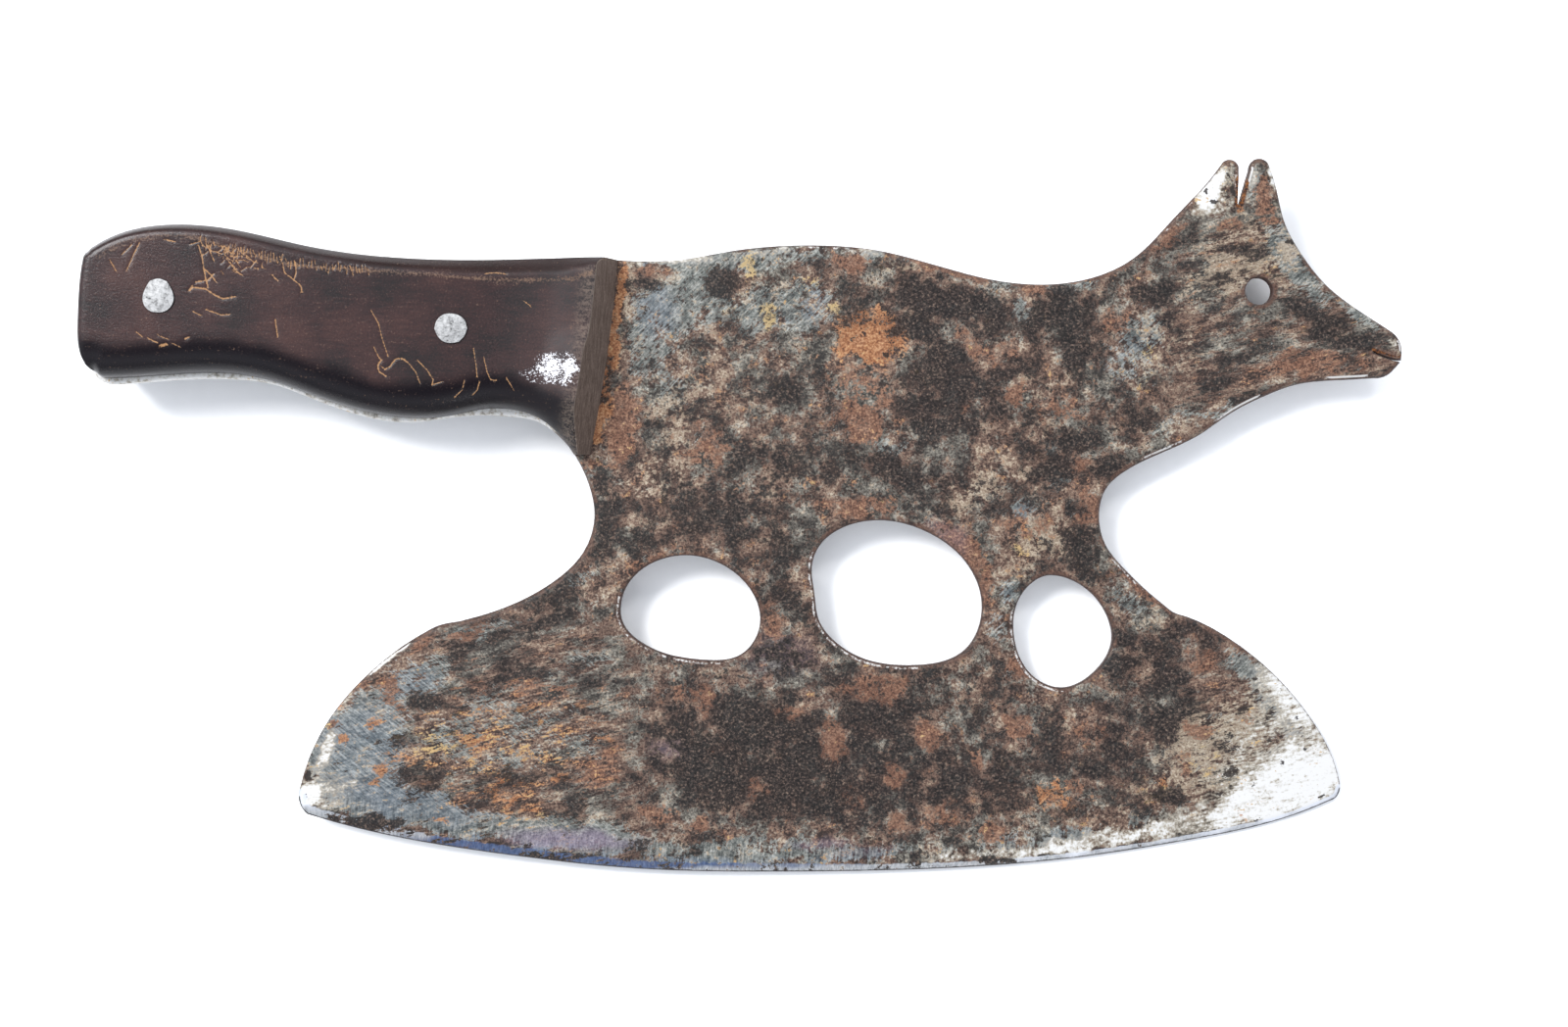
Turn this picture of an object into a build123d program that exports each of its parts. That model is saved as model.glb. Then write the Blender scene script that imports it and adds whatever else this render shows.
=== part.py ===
from build123d import *
import os

# Meat cleaver: one steel plate cut in the outline of a cow-like animal, with a full tang
# between two wooden scales that two aluminium rivets hold.
#
# Frame, in millimetres: X runs along the tool from the butt (-X) to the muzzle (+X),
# Y from the cutting edge (-Y) to the ears (+Y), and Z is the plate's thickness.
# The origin is the centre of the bounding box's lowest face, which is the back scale's
# outer face: the face that the tool rests on.

# ---------------------------------------------------------------- driving dimensions
PLATE = 3.2                   # thickness of the steel
SCALE = 9.0                   # thickness of each wooden scale
RIM_ROUND = 0.9               # rounding of the plate's outline and of its three big holes

GRIND_WIDTH = 14.0            # taper ground on both faces above the cutting edge
SHOULDER_THICKNESS = 1.6      # thickness where the taper ends and the last bevel starts
BEVEL_WIDTH = 2.6             # last bevel, down to the cutting edge
EDGE_THICKNESS = 0.4          # blunt width of the cutting edge itself

EYE = (131.8, 57.2)           # centre of the eye hole
EYE_RADIUS = 3.5
MOUTH_WIDTH = 0.7             # saw cut between the lips

TOP_ROUND = 4.2               # round of a scale's upper long side
BELLY_ROUND = (8.6, 7.0)      # width and depth of the softer round of its lower long side
BUTT_ROUND = 2.5              # round of its butt end
ROUND_OVERSIZE = 1.03         # how much larger these rounds are than a tangent one
FACET_RUN = 4.3               # how far the front facet leans back over the scale's thickness

BUTT_RIVET = (-146.2, 54.9)   # centres of the two rivets
GUARD_RIVET = (-72.9, 46.8)
SHANK_RADIUS = 3.2
HEAD_RADIUS = 4.1             # spread of the peened ends
HEAD_DEPTH = 1.5              # depth of the countersinks that hold them

RUN_OUT = 20.0                # how far a swept cutter runs straight past its edge
CLEAR = 1.0                   # how far a cutter stands outside what it cuts

# ---------------------------------------------------------------- levels along Z
PLATE_BOTTOM = SCALE
PLATE_TOP = SCALE + PLATE
MIDDLE = SCALE + PLATE / 2
TOP = 2 * SCALE + PLATE

# ---------------------------------------------------------------- outline of the plate
# The stretches run clockwise from the upper corner of the butt.
SPINE = [
    (-164.6, 67.2), (-155, 71.8), (-143, 73.4), (-130, 72.4), (-110, 68.0), (-90, 65.2),
    (-65, 64.4), (-32, 65.0), (-17, 65.2), (-3, 67.5), (16, 69.0), (35, 67.6),
    (52, 63.2), (64, 60.2), (77, 59.0), (89, 60.6), (100, 65.7), (110, 75.6),
    (116.5, 82.4), (122.4, 89.6),
]
REAR_EAR_TIP = [(122.4, 89.6), (125.0, 90.9), (126.8, 89.0)]
EAR_SLIT_REAR = [(126.8, 89.0), (126.4, 79.6)]
EAR_SLIT_END = [(126.4, 79.6), (126.7, 79.2), (127.0, 79.6)]
EAR_SLIT_FRONT = [(127.0, 79.6), (129.4, 88.2)]
FRONT_EAR_TIP = [(129.4, 88.2), (132.0, 91.2), (134.8, 89.0)]
FOREHEAD = [
    (134.8, 89.0), (136.7, 82.8), (138.4, 75.5), (142.8, 67.0), (149.5, 58.6),
    (158, 52.1), (165.4, 47.3),
]
NOSE = [(165.4, 47.3), (168.5, 42.8), (166.6, 37.3)]
CHIN = [(166.6, 37.3), (164.8, 35.7), (161.5, 35.0)]
JAW = [
    (161.5, 35.0), (150, 34.4), (141, 33.2), (133.5, 30.4), (125, 26.1), (117.5, 20.9),
    (107, 15.8), (98, 11.3), (92.9, 6.6), (91.2, 0), (92.8, -7.5), (97.5, -13.6),
    (104, -19.9), (110.3, -24.9),
]
FRONT_SHOULDER = [
    (110.3, -24.9), (118, -27.8), (128, -34.0), (137, -41.8), (144.5, -50.8),
    (150, -60), (152.7, -69),
]
TOE = [(152.7, -69), (152.4, -71.3), (150, -73.1)]
CUTTING_EDGE = [
    (150, -73.1), (135, -78.6), (114, -83.1), (86, -87.5), (50, -90.4), (8, -91.2),
    (-27, -90.4), (-60, -86.9), (-95, -80.9), (-111.3, -76.5),
]
HEEL = [(-111.3, -76.5), (-113.3, -73.6), (-113.1, -69.6)]
REAR_SHOULDER = [
    (-113.1, -69.6), (-110, -60), (-105.2, -51.4), (-97, -41.8), (-88, -34.2),
    (-78, -28.3),
]
BELLY = [
    (-78, -28.3), (-66, -25.4), (-56, -21.5), (-47, -16), (-40.8, -9.6), (-37.9, 0),
    (-39.6, 8.6), (-43.6, 16.4), (-47.9, 21.0), (-52.5, 23.9), (-59, 25.1),
    (-66, 25.5), (-75, 24.9), (-84, 23.8), (-93, 24.4), (-102, 26.8), (-111, 30.2),
    (-120, 33.4), (-130, 34.7), (-142, 34.7), (-160, 33.3),
]
BUTT = [
    (-160, 33.3), (-165.2, 35.4), (-167.6, 42), (-168.5, 52), (-167.8, 61),
    (-164.6, 67.2),
]

# Outlines of the three big holes, one closed curve each.
REAR_HOLE = [
    (-31.2, -24.5), (-27.4, -15.3), (-14, -10.3), (-4.6, -13), (2.6, -20), (4.4, -28),
    (-0.4, -35.6), (-10, -37), (-24.8, -33.2),
]
MIDDLE_HOLE = [
    (18, -17.5), (21, -6.3), (33, -1.4), (46, -3.8), (56.9, -11.8), (61.2, -23),
    (57.2, -34.1), (42, -38.4), (27, -34.8), (19.6, -27),
]
FRONT_HOLE = [
    (79.3, -15.4), (87, -18.2), (93.3, -26), (94.4, -32), (89.8, -40.2), (81.5, -44.1),
    (73.8, -40.7), (69.4, -31), (71.2, -20.5),
]

# The saw cut of the mouth, from the lips inwards.
MOUTH = [(170.5, 39.4), (166.4, 39.6), (163.6, 40.5), (160.8, 41.7)]

# ---------------------------------------------------------------- outline of a scale
# Each scale is cut flush with the tang along the spine. Along the belly and round the butt
# it stops short, so the tang stands a little proud there.
HANDLE_TOP = SPINE[:8]
SCALE_ABOVE_SPINE = [(-162.6, 76), (-31, 76), (-31.8, 65.0)]
SCALE_FRONT = [(-31.8, 65.0), (-34.6, 40.0), (-38.9, 15.4)]
SCALE_TOE = [(-38.9, 15.4), (-42.8, 15.4)]
SCALE_BELLY = [
    (-42.8, 15.4), (-47.7, 21.6), (-52.5, 25.1), (-58, 26.8), (-66, 27.0), (-74, 25.4),
    (-84, 24.7), (-93, 25.7), (-102, 28.0), (-111, 31.1), (-120, 34.2), (-129, 35.9),
    (-142, 36.0), (-162.5, 34.9),
]
SCALE_BUTT = [(-162.5, 34.9), (-166.2, 39.5), (-167.2, 50), (-166.6, 60), (-162.6, 76)]
BUTT_END = SCALE_BUTT[1:4]


# ---------------------------------------------------------------- helpers
def closed_face(*edges):
    """The flat face inside a loop of edges."""
    return make_face(Curve() + list(edges))


def rims(solid):
    """The edges round a plate's two flat faces."""
    return solid.faces().filter_by(Axis.Z).edges()


def with_run_outs(edge):
    """An edge made longer by a straight run along its tangent at each end."""
    start = edge @ 0
    end = edge @ 1
    run_in = Line(start - (edge % 0) * RUN_OUT, start)
    run_out = Line(end, end + (edge % 1) * RUN_OUT)
    return Wire([run_in, edge, run_out])


def swept_cutter(edge, profile):
    """A profile of (inward, up) points swept along an edge, inward being to its right."""
    path = with_run_outs(edge)
    along = path % 0
    inward = Vector(along.Y, -along.X, 0)
    section = Plane(path @ 0, x_dir=inward, z_dir=-along)
    return sweep(section * profile, path=path)


# ---------------------------------------------------------------- profiles of what is cut away
def grind_profile():
    """What grinding takes off the blade's upper face, up being from the mid-plane."""
    above = PLATE / 2 + CLEAR
    return make_face(Polyline(
        (-CLEAR, EDGE_THICKNESS / 2), (0, EDGE_THICKNESS / 2),
        (BEVEL_WIDTH, SHOULDER_THICKNESS / 2), (GRIND_WIDTH, PLATE / 2),
        (GRIND_WIDTH, above), (-CLEAR, above), close=True,
    ))


def round_profile(width, depth):
    """What rounding takes off a scale's outer edge, up being from the tang's face.

    The quarter ellipse is a little larger than the corner, so that it meets the wall and
    the outer face at a slight angle, as a rasp leaves it.
    """
    foot = SCALE - depth
    reach = width * ROUND_OVERSIZE
    rise = depth * ROUND_OVERSIZE
    arc = EllipticalCenterArc(
        (width, foot), x_radius=reach, y_radius=rise, start_angle=90, arc_size=90,
    )
    outside = Polyline(
        (width - reach, foot), (-CLEAR, foot), (-CLEAR, SCALE + CLEAR),
        (width, SCALE + CLEAR), (width, foot + rise),
    )
    return closed_face(arc, outside)


def facet_profile():
    """What the slanting saw cut takes off a scale's front end."""
    lean = FACET_RUN / SCALE
    return make_face(Polyline(
        (-lean * CLEAR, -CLEAR), (lean * (SCALE + CLEAR), SCALE + CLEAR),
        (-2 * CLEAR, SCALE + CLEAR), (-2 * CLEAR, -CLEAR), close=True,
    ))


# ---------------------------------------------------------------- flat outlines
def blade_face():
    outline = closed_face(
        Spline(*SPINE),
        ThreePointArc(*REAR_EAR_TIP),
        Line(*EAR_SLIT_REAR),
        ThreePointArc(*EAR_SLIT_END),
        Line(*EAR_SLIT_FRONT),
        ThreePointArc(*FRONT_EAR_TIP),
        Spline(*FOREHEAD),
        ThreePointArc(*NOSE),
        ThreePointArc(*CHIN),
        Spline(*JAW),
        Spline(*FRONT_SHOULDER),
        ThreePointArc(*TOE),
        Spline(*CUTTING_EDGE),
        ThreePointArc(*HEEL),
        Spline(*REAR_SHOULDER),
        Spline(*BELLY),
        Spline(*BUTT),
    )
    for points in (REAR_HOLE, MIDDLE_HOLE, FRONT_HOLE):
        outline -= make_face(Spline(*points, periodic=True))
    return outline


def scale_face():
    """A scale's footprint on the tang."""
    reach = closed_face(
        Polyline(*SCALE_ABOVE_SPINE),
        ThreePointArc(*SCALE_FRONT),
        Line(*SCALE_TOE),
        Spline(*SCALE_BELLY),
        Spline(*SCALE_BUTT),
    )
    return blade_face() & reach


# ---------------------------------------------------------------- sub-parts
def make_rivet(centre):
    """A rod through both scales and the tang, spread at its ends into countersinks."""
    half = Polyline(
        (0, 0), (HEAD_RADIUS, 0), (SHANK_RADIUS, HEAD_DEPTH),
        (SHANK_RADIUS, TOP - HEAD_DEPTH), (HEAD_RADIUS, TOP), (0, TOP), close=True,
    )
    return Pos(*centre, 0) * revolve(Plane.XZ * make_face(half), axis=Axis.Z)


def make_blade(rivets):
    plate = extrude(blade_face(), PLATE)
    plate = fillet(rims(plate), RIM_ROUND)
    # The spine was dressed flush with the scales, so the tang keeps square edges there.
    plate += extrude(scale_face(), PLATE)
    plate = Pos(0, 0, PLATE_BOTTOM) * plate
    upper_grind = Pos(0, 0, MIDDLE) * swept_cutter(Spline(*CUTTING_EDGE), grind_profile())
    plate -= upper_grind
    plate -= mirror(upper_grind, about=Plane.XY.offset(MIDDLE))
    through = (Align.CENTER, Align.CENTER, Align.MIN)
    plate -= Pos(*EYE, 0) * Cylinder(EYE_RADIUS, TOP, align=through)
    plate -= extrude(trace(Spline(*MOUTH), MOUTH_WIDTH), TOP)
    for rivet in rivets:
        plate -= rivet
    return plate


def make_front_scale(rivets):
    scale = extrude(scale_face(), SCALE)
    scale -= swept_cutter(Spline(*HANDLE_TOP), round_profile(TOP_ROUND, TOP_ROUND))
    scale -= swept_cutter(Spline(*SCALE_BELLY), round_profile(*BELLY_ROUND))
    scale -= swept_cutter(ThreePointArc(*BUTT_END), round_profile(BUTT_ROUND, BUTT_ROUND))
    scale -= swept_cutter(ThreePointArc(*SCALE_FRONT), facet_profile())
    scale = Pos(0, 0, PLATE_TOP) * scale
    for rivet in rivets:
        scale -= rivet
    return scale


# ---------------------------------------------------------------- assembly
butt_rivet = make_rivet(BUTT_RIVET)
guard_rivet = make_rivet(GUARD_RIVET)
rivets = (butt_rivet, guard_rivet)
front_scale = make_front_scale(rivets)

nodes = {
    "blade": make_blade(rivets),
    "front_scale": front_scale,
    "back_scale": mirror(front_scale, about=Plane.XY.offset(MIDDLE)),
    "butt_rivet": butt_rivet,
    "guard_rivet": guard_rivet,
}

os.makedirs("parts", exist_ok=True)
for name, shape in nodes.items():
    export_step(shape, f"parts/{name}.step")
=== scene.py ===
import math

import bmesh
import bpy
import numpy as np
from mathutils import Matrix, Vector, noise
from mathutils.geometry import delaunay_2d_cdt
from mathutils.kdtree import KDTree


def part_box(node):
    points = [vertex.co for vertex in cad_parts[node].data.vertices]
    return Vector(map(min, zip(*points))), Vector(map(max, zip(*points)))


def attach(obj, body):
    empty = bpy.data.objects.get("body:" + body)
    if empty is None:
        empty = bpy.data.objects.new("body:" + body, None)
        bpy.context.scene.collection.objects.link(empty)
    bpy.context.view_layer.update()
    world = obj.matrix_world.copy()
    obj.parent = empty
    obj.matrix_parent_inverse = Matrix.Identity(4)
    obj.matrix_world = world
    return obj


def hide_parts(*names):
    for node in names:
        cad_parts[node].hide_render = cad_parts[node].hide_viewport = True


# Looks for the meat cleaver. Shapes come from level sections of the CAD nodes, worked in
# millimetres in the CAD frame: X runs from the butt to the muzzle, Y from the cutting edge
# to the ears, Z is the plate's thickness.

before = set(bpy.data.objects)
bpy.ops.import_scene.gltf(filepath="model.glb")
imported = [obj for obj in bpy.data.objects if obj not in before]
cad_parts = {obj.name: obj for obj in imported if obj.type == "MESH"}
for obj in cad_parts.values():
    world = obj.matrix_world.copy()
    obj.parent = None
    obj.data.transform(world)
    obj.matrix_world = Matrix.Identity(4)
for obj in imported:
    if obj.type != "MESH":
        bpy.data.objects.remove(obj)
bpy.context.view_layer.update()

MM = 0.001
SEED = 11
CORNER = math.radians(38)     # a turn sharper than this stays a corner when a loop is smoothed
BOUNDARY_STEP = 0.7           # spacing of points along an outline
MUCH_LONGER = 4               # a chord this many times its neighbour's length stays straight
IN_LINE = 0.004               # a point this near its neighbours' line adds nothing


# ---------------------------------------------------------------- measures from the frame
def box_mm(node):
    """A CAD node's lowest and highest corners, in millimetres."""
    low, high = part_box(node)
    return np.array(low) / MM, np.array(high) / MM


def node_triangles(name):
    """The corners of a CAD node's triangles, in millimetres."""
    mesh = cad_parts[name].data
    mesh.calc_loop_triangles()
    places = np.array([v.co for v in mesh.vertices], float) / MM
    return places[np.array([t.vertices for t in mesh.loop_triangles])]


def section(name, level):
    """The closed outlines where a CAD node meets a level plane, longest first."""
    links = {}
    for corners in node_triangles(name):
        ends = set()
        for a, b in ((0, 1), (1, 2), (2, 0)):
            low, high = sorted((tuple(corners[a]), tuple(corners[b])), key=lambda p: p[2])
            if low[2] < level <= high[2]:
                share = (level - low[2]) / (high[2] - low[2])
                ends.add(tuple(round(low[i] + share * (high[i] - low[i]), 5) for i in (0, 1)))
        if len(ends) == 2:
            a, b = ends
            links.setdefault(a, []).append(b)
            links.setdefault(b, []).append(a)
    loops = []
    while links:
        at = next(iter(links))
        loop = []
        while at in links:
            loop.append(at)
            onward = links[at].pop()
            links[onward].remove(at)
            for end in (at, onward):
                if not links[end]:
                    del links[end]
            at = onward
        loops.append(without_in_line(np.array(loop)))
    return sorted(loops, key=lambda loop: -np.ptp(loop[:, 0]))


def without_in_line(points):
    """A loop without the points on the straight line from the last kept one to the next."""
    kept = [points[-1]]
    for here, onward in zip(points, np.roll(points, -1, 0)):
        across, offset = onward - kept[-1], here - kept[-1]
        away = abs(across[0] * offset[1] - across[1] * offset[0])
        if away > IN_LINE * np.linalg.norm(across):
            kept.append(here)
    return np.array(kept[1:])


PLATE_BOTTOM = box_mm("blade")[0][2]
PLATE_TOP = box_mm("blade")[1][2]
MIDDLE = (PLATE_BOTTOM + PLATE_TOP) / 2
HALF_PLATE = (PLATE_TOP - PLATE_BOTTOM) / 2
TOP = box_mm("front_scale")[1][2]
SCALE = TOP - PLATE_TOP


# ---------------------------------------------------------------- outlines and distances
def smooth_loop(points, step):
    """A loop resampled about every step on a smooth curve through its points."""
    chord = np.roll(points, -1, 0) - points
    length = np.linalg.norm(chord, axis=1)
    way = chord / length[:, None]
    back_way, back_length = np.roll(way, 1, 0), np.roll(length, 1)
    sharp = np.arccos(np.clip((back_way * way).sum(1), -1, 1)) > CORNER
    tangent = back_way * length[:, None] + way * back_length[:, None]
    straight_ahead = length > MUCH_LONGER * back_length
    straight_behind = back_length > MUCH_LONGER * length
    tangent[straight_ahead] = way[straight_ahead]
    tangent[straight_behind] = back_way[straight_behind]
    tangent /= np.linalg.norm(tangent, axis=1)[:, None]
    made = []
    for i in range(len(points)):
        j = (i + 1) % len(points)
        leave = way[i] if sharp[i] else tangent[i]
        arrive = way[i] if sharp[j] else tangent[j]
        count = max(1, round(length[i] / step))
        s = (np.arange(count) / count)[:, None]
        made.append(
            points[i] * (2 * s**3 - 3 * s**2 + 1) + points[j] * (3 * s**2 - 2 * s**3)
            + leave * length[i] * (s**3 - 2 * s**2 + s) + arrive * length[i] * (s**3 - s**2)
        )
    return np.concatenate(made)


def signed_area(loop):
    ahead = np.roll(loop, -1, 0)
    return (loop[:, 0] * ahead[:, 1] - ahead[:, 0] * loop[:, 1]).sum() / 2


class Outline:
    """Loops with the solid on their left: the outer one and its holes."""

    def __init__(self, loops):
        self.loops = []
        for i, loop in enumerate(loops):
            wrong = (signed_area(loop) < 0) == (i == 0)
            self.loops.append(loop[::-1] if wrong else loop)
        self.points = np.concatenate(self.loops)
        starts = np.cumsum([0] + [len(loop) for loop in self.loops])
        self.spans = list(zip(starts[:-1], starts[1:]))
        self.ahead = np.concatenate([np.roll(np.arange(a, b), -1) for a, b in self.spans])
        self.behind = np.concatenate([np.roll(np.arange(a, b), 1) for a, b in self.spans])
        along = self.points[self.ahead] - self.points[self.behind]
        along /= np.maximum(np.linalg.norm(along, axis=1), 1e-9)[:, None]
        self.inward = np.stack([-along[:, 1], along[:, 0]], 1)
        self.tree = KDTree(len(self.points))
        for i, (x, y) in enumerate(self.points):
            self.tree.insert((x, y, 0), i)
        self.tree.balance()

    def edges(self):
        return [(int(a), int(b)) for a, b in enumerate(self.ahead)]

    def nearest(self, points):
        """Each point's nearest outline sample, and its distance from the outline."""
        near = np.array([self.tree.find((x, y, 0))[1] for x, y in points], int)
        here = self.points[near]
        away = np.full(len(points), np.inf)
        for other in (self.points[self.ahead[near]], self.points[self.behind[near]]):
            away = np.minimum(away, distance_to_segment(points, here, other))
        return near, away

    def holds(self, points):
        """Whether each point is inside the outer loop and outside the holes."""
        a, b = self.points, self.points[self.ahead]
        inside = np.zeros(len(points), bool)
        for i in range(0, len(points), 2000):
            x, y = points[i:i + 2000, 0, None], points[i:i + 2000, 1, None]
            spans = (a[:, 1] > y) != (b[:, 1] > y)
            with np.errstate(divide="ignore", invalid="ignore"):
                crossing = a[:, 0] + (y - a[:, 1]) * (b[:, 0] - a[:, 0]) / (b[:, 1] - a[:, 1])
            inside[i:i + 2000] = (spans & (x < crossing)).sum(1) % 2 == 1
        return inside


def distance_to_segment(points, start, end):
    along = end - start
    share = ((points - start) * along).sum(-1) / np.maximum((along**2).sum(-1), 1e-12)
    return np.linalg.norm(points - start - np.clip(share, 0, 1)[:, None] * along, axis=1)


def distance_to_chain(points, chain):
    """Each point's distance from an open chain of points."""
    away = np.full(len(points), np.inf)
    for start, end in zip(chain[:-1], chain[1:]):
        away = np.minimum(away, distance_to_segment(points, start, end))
    return away


def smooth(low, high, value):
    """0 at low, 1 at high, with an easy start and end."""
    share = np.clip((value - low) / (high - low), 0, 1)
    return share * share * (3 - 2 * share)


def rounded(away, width, depth, full):
    """Height of a surface that rises from its outline along a quarter ellipse."""
    share = np.clip(1 - away / np.maximum(width, 1e-6), 0, 1)
    return full - depth * (1 - np.sqrt(1 - share**2))


def wander(points, size, seed):
    """Gentle noise from -1 to 1 at each (x, y), with features of about that size."""
    shift = Vector((seed * 17.3, seed * 5.1, seed * 9.7))
    return np.array([noise.noise(Vector((x / size, y / size, 0)) + shift) for x, y in points])


# ---------------------------------------------------------------- plates from an outline
RING_ANGLES = [math.radians(a) for a in (22, 45, 67, 90)]
LEAST_OFFSET = 0.02           # a row nearer the outline than this is left out
UNCROWDED = 0.96              # a row's point stays if this share of its offset is clear
ROW_HEIGHT = 0.866            # of a triangular lattice whose spacing is 1
JITTER = 0.2                  # how far its points stray, as a share of the spacing
CLEARANCE = 0.4               # its least distance from the rows, as a share of the spacing
SAME_POINT = 1e-5


def ring_points(outline, width, extra=()):
    """Rows of points inside an outline, close together where its rounding turns fastest."""
    rows = [(1 - math.cos(a)) * width for a in RING_ANGLES] + list(extra)
    made = []
    for offset in rows:
        use = offset > LEAST_OFFSET
        points = outline.points[use] + outline.inward[use] * offset[use, None]
        away = outline.nearest(points)[1]
        keep = (away > UNCROWDED * offset[use]) & outline.holds(points)
        made.append(points[keep])
    return np.concatenate(made)


def lattice(outline, spacing, reach, generator):
    """An uneven triangular lattice inside an outline, clear of its first reach millimetres."""
    low, high = outline.points.min(0), outline.points.max(0)
    rows = np.arange(low[1], high[1], spacing * ROW_HEIGHT)
    made = []
    for i, y in enumerate(rows):
        x = np.arange(low[0] + (i % 2) * spacing / 2, high[0], spacing)
        made.append(np.stack([x, np.full(len(x), y)], 1))
    points = np.concatenate(made)
    points += generator.uniform(-JITTER, JITTER, points.shape) * spacing
    points = points[outline.holds(points)]
    near, away = outline.nearest(points)
    return points[away > reach[near] + CLEARANCE * spacing]


def thinned(points, others, gap):
    """The points that are farther than gap from all the others."""
    if not len(others):
        return points
    tree = KDTree(len(others))
    for i, (x, y) in enumerate(others):
        tree.insert((x, y, 0), i)
    tree.balance()
    return points[np.array([tree.find((x, y, 0))[2] > gap for x, y in points])]


def triangulated(outline, inner):
    """Points and triangles that fill an outline, using the inner points."""
    places = [Vector(p) for p in np.concatenate([outline.points, inner])]
    points, _, faces, _, _, _ = delaunay_2d_cdt(places, outline.edges(), [], 0, SAME_POINT)
    points = np.array(points, float)
    faces = np.array([f for f in faces if len(f) == 3])
    faces = faces[outline.holds(points[faces].mean(1))]
    a, b, c = (points[faces[:, i]] for i in range(3))
    clockwise = (b - a)[:, 0] * (c - a)[:, 1] < (b - a)[:, 1] * (c - a)[:, 0]
    faces[clockwise] = faces[clockwise][:, ::-1]
    return points, faces


def open_edges(faces):
    """The edges that one triangle has, in that triangle's direction."""
    edges = np.concatenate([faces[:, [0, 1]], faces[:, [1, 2]], faces[:, [2, 0]]])
    present = {(int(a), int(b)) for a, b in edges}
    return [(a, b) for a, b in present if (b, a) not in present]


def placed(name, data):
    """A new object in the scene."""
    made = bpy.data.objects.new(name, data)
    bpy.context.scene.collection.objects.link(made)
    return made


def shade_smooth(mesh, sharp_angle):
    """Smooth shading, with edges that turn more than so many degrees left sharp."""
    mesh.set_sharp_from_angle(angle=math.radians(sharp_angle))
    for polygon in mesh.polygons:
        polygon.use_smooth = True


def plate_object(name, points, faces, upper, lower, attributes, sharp_angle=40):
    """A closed object between two heights over the same flat triangles."""
    count = len(points)
    places = np.concatenate([
        np.column_stack([points, upper]),
        np.column_stack([points, lower]),
    ]) * MM
    all_faces = faces.tolist() + (faces[:, ::-1] + count).tolist()
    all_faces += [(b, a, a + count, b + count) for a, b in sorted(open_edges(faces))]
    mesh = bpy.data.meshes.new(name)
    mesh.from_pydata(places.tolist(), [], all_faces)
    mesh.update()
    for key, values in attributes.items():
        layer = mesh.attributes.new(key, "FLOAT", "POINT")
        layer.data.foreach_set("value", np.tile(values, 2).astype(np.float32))
    used = bmesh.new()
    used.from_mesh(mesh)
    bmesh.ops.delete(used, geom=[v for v in used.verts if not v.link_faces], context="VERTS")
    used.to_mesh(mesh)
    used.free()
    shade_smooth(mesh, sharp_angle)
    return placed(name, mesh)


def declare(piece, node, material):
    """Gives a piece its material, puts it under the root body, and hides the CAD node it stands for."""
    piece.data.materials.append(material)
    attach(piece, "root")
    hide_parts(node)


# ---------------------------------------------------------------- the steel plate
GRIND_WIDTH = 14.0
HALF_SHOULDER = 0.8           # half the thickness where the honed bevel begins
HALF_EDGE = 0.2               # and at the cutting edge
EDGE_BAND = 0.12              # the cutting edge is in this lowest share of the plate's height
FAR_OFF = 1e3
ON_CHAIN = 1e-3               # a point this near a chain is one of its own
PLATE_SPACING = 1.3
BEVEL_ROWS = (0.7, 1.4, 2.0, 2.6)   # rows of points beside the cutting edge


def cutting_edge(loop):
    """The stretch of the outer loop from the heel to the toe."""
    low, high = loop.min(0), loop.max(0)
    near_edge = loop[:, 1] < low[1] + EDGE_BAND * (high[1] - low[1])
    rolled = int(np.argmin(loop[:, 0] + np.where(near_edge, 0, FAR_OFF)))
    loop = np.roll(loop, -rolled, 0)
    near_edge = np.roll(near_edge, -rolled)
    last = int(np.argmax(np.where(near_edge, loop[:, 0], -FAR_OFF)))
    return loop[:last + 1]


# The sawn mouth's middle line. The visible cut is narrower than the CAD's.
MOUTH = [(171, 39.3), (166.4, 39.6), (163.6, 40.5), (160.8, 41.7)]
MOUTH_CLOSING = 0.19


def narrower_mouth(loop):
    """The outer loop with both lips moved a little towards the mouth's middle line."""
    lips = smooth(0.8, 0.5, distance_to_chain(loop, np.array(MOUTH)))
    return loop - Outline([loop]).inward * MOUTH_CLOSING * lips[:, None]


# How widely the plate's rim is rounded, in millimetres.
BODY_ROUND = 1.3
HEAD_ROUND = 1.5              # on the head and on the back beside it
TANG_ROUND = 1.0              # also in the three large holes
SLIT_ROUND = 0.35             # also in the mouth and the eye
EDGE_ROUND = 0.12
LARGE_HOLE = 10
ROUND_RUN = 4                 # a change of rounding is spread over this many samples each way


def rim_rounding(outline, edge_chain):
    """How widely the rim is rounded at each outline point."""
    x, y = outline.points.T
    width = np.full(len(x), BODY_ROUND)
    width[(x > 92) & (y > 15)] = HEAD_ROUND
    width[(x > 40) & (x < 100) & (y > 50)] = HEAD_ROUND
    width[distance_to_chain(outline.points, edge_chain) < ON_CHAIN] = EDGE_ROUND
    slit = (x > 126) & (x < 129.8) & (y > 78.5) & (y < 88.5)
    mouth = (x > 160) & (y > 39) & (y < 42.5) & (x < 167.6)
    width[slit | mouth] = SLIT_ROUND
    under_scales = (x < -31) & (y > 12)
    width[under_scales] = TANG_ROUND
    width[under_scales & (y > 60)] = 0.0
    for (start, end), loop in list(zip(outline.spans, outline.loops))[1:]:
        large, eye = np.ptp(loop[:, 0]) > LARGE_HOLE, loop[0, 0] > 0
        width[start:end] = TANG_ROUND if large else SLIT_ROUND if eye else 0.0
    run = range(-ROUND_RUN, ROUND_RUN + 1)
    for start, end in outline.spans:
        row = width[start:end]
        soft = sum(np.roll(row, k) for k in run) / len(run)
        width[start:end] = np.where(row == 0, 0, soft)
    return width


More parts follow.
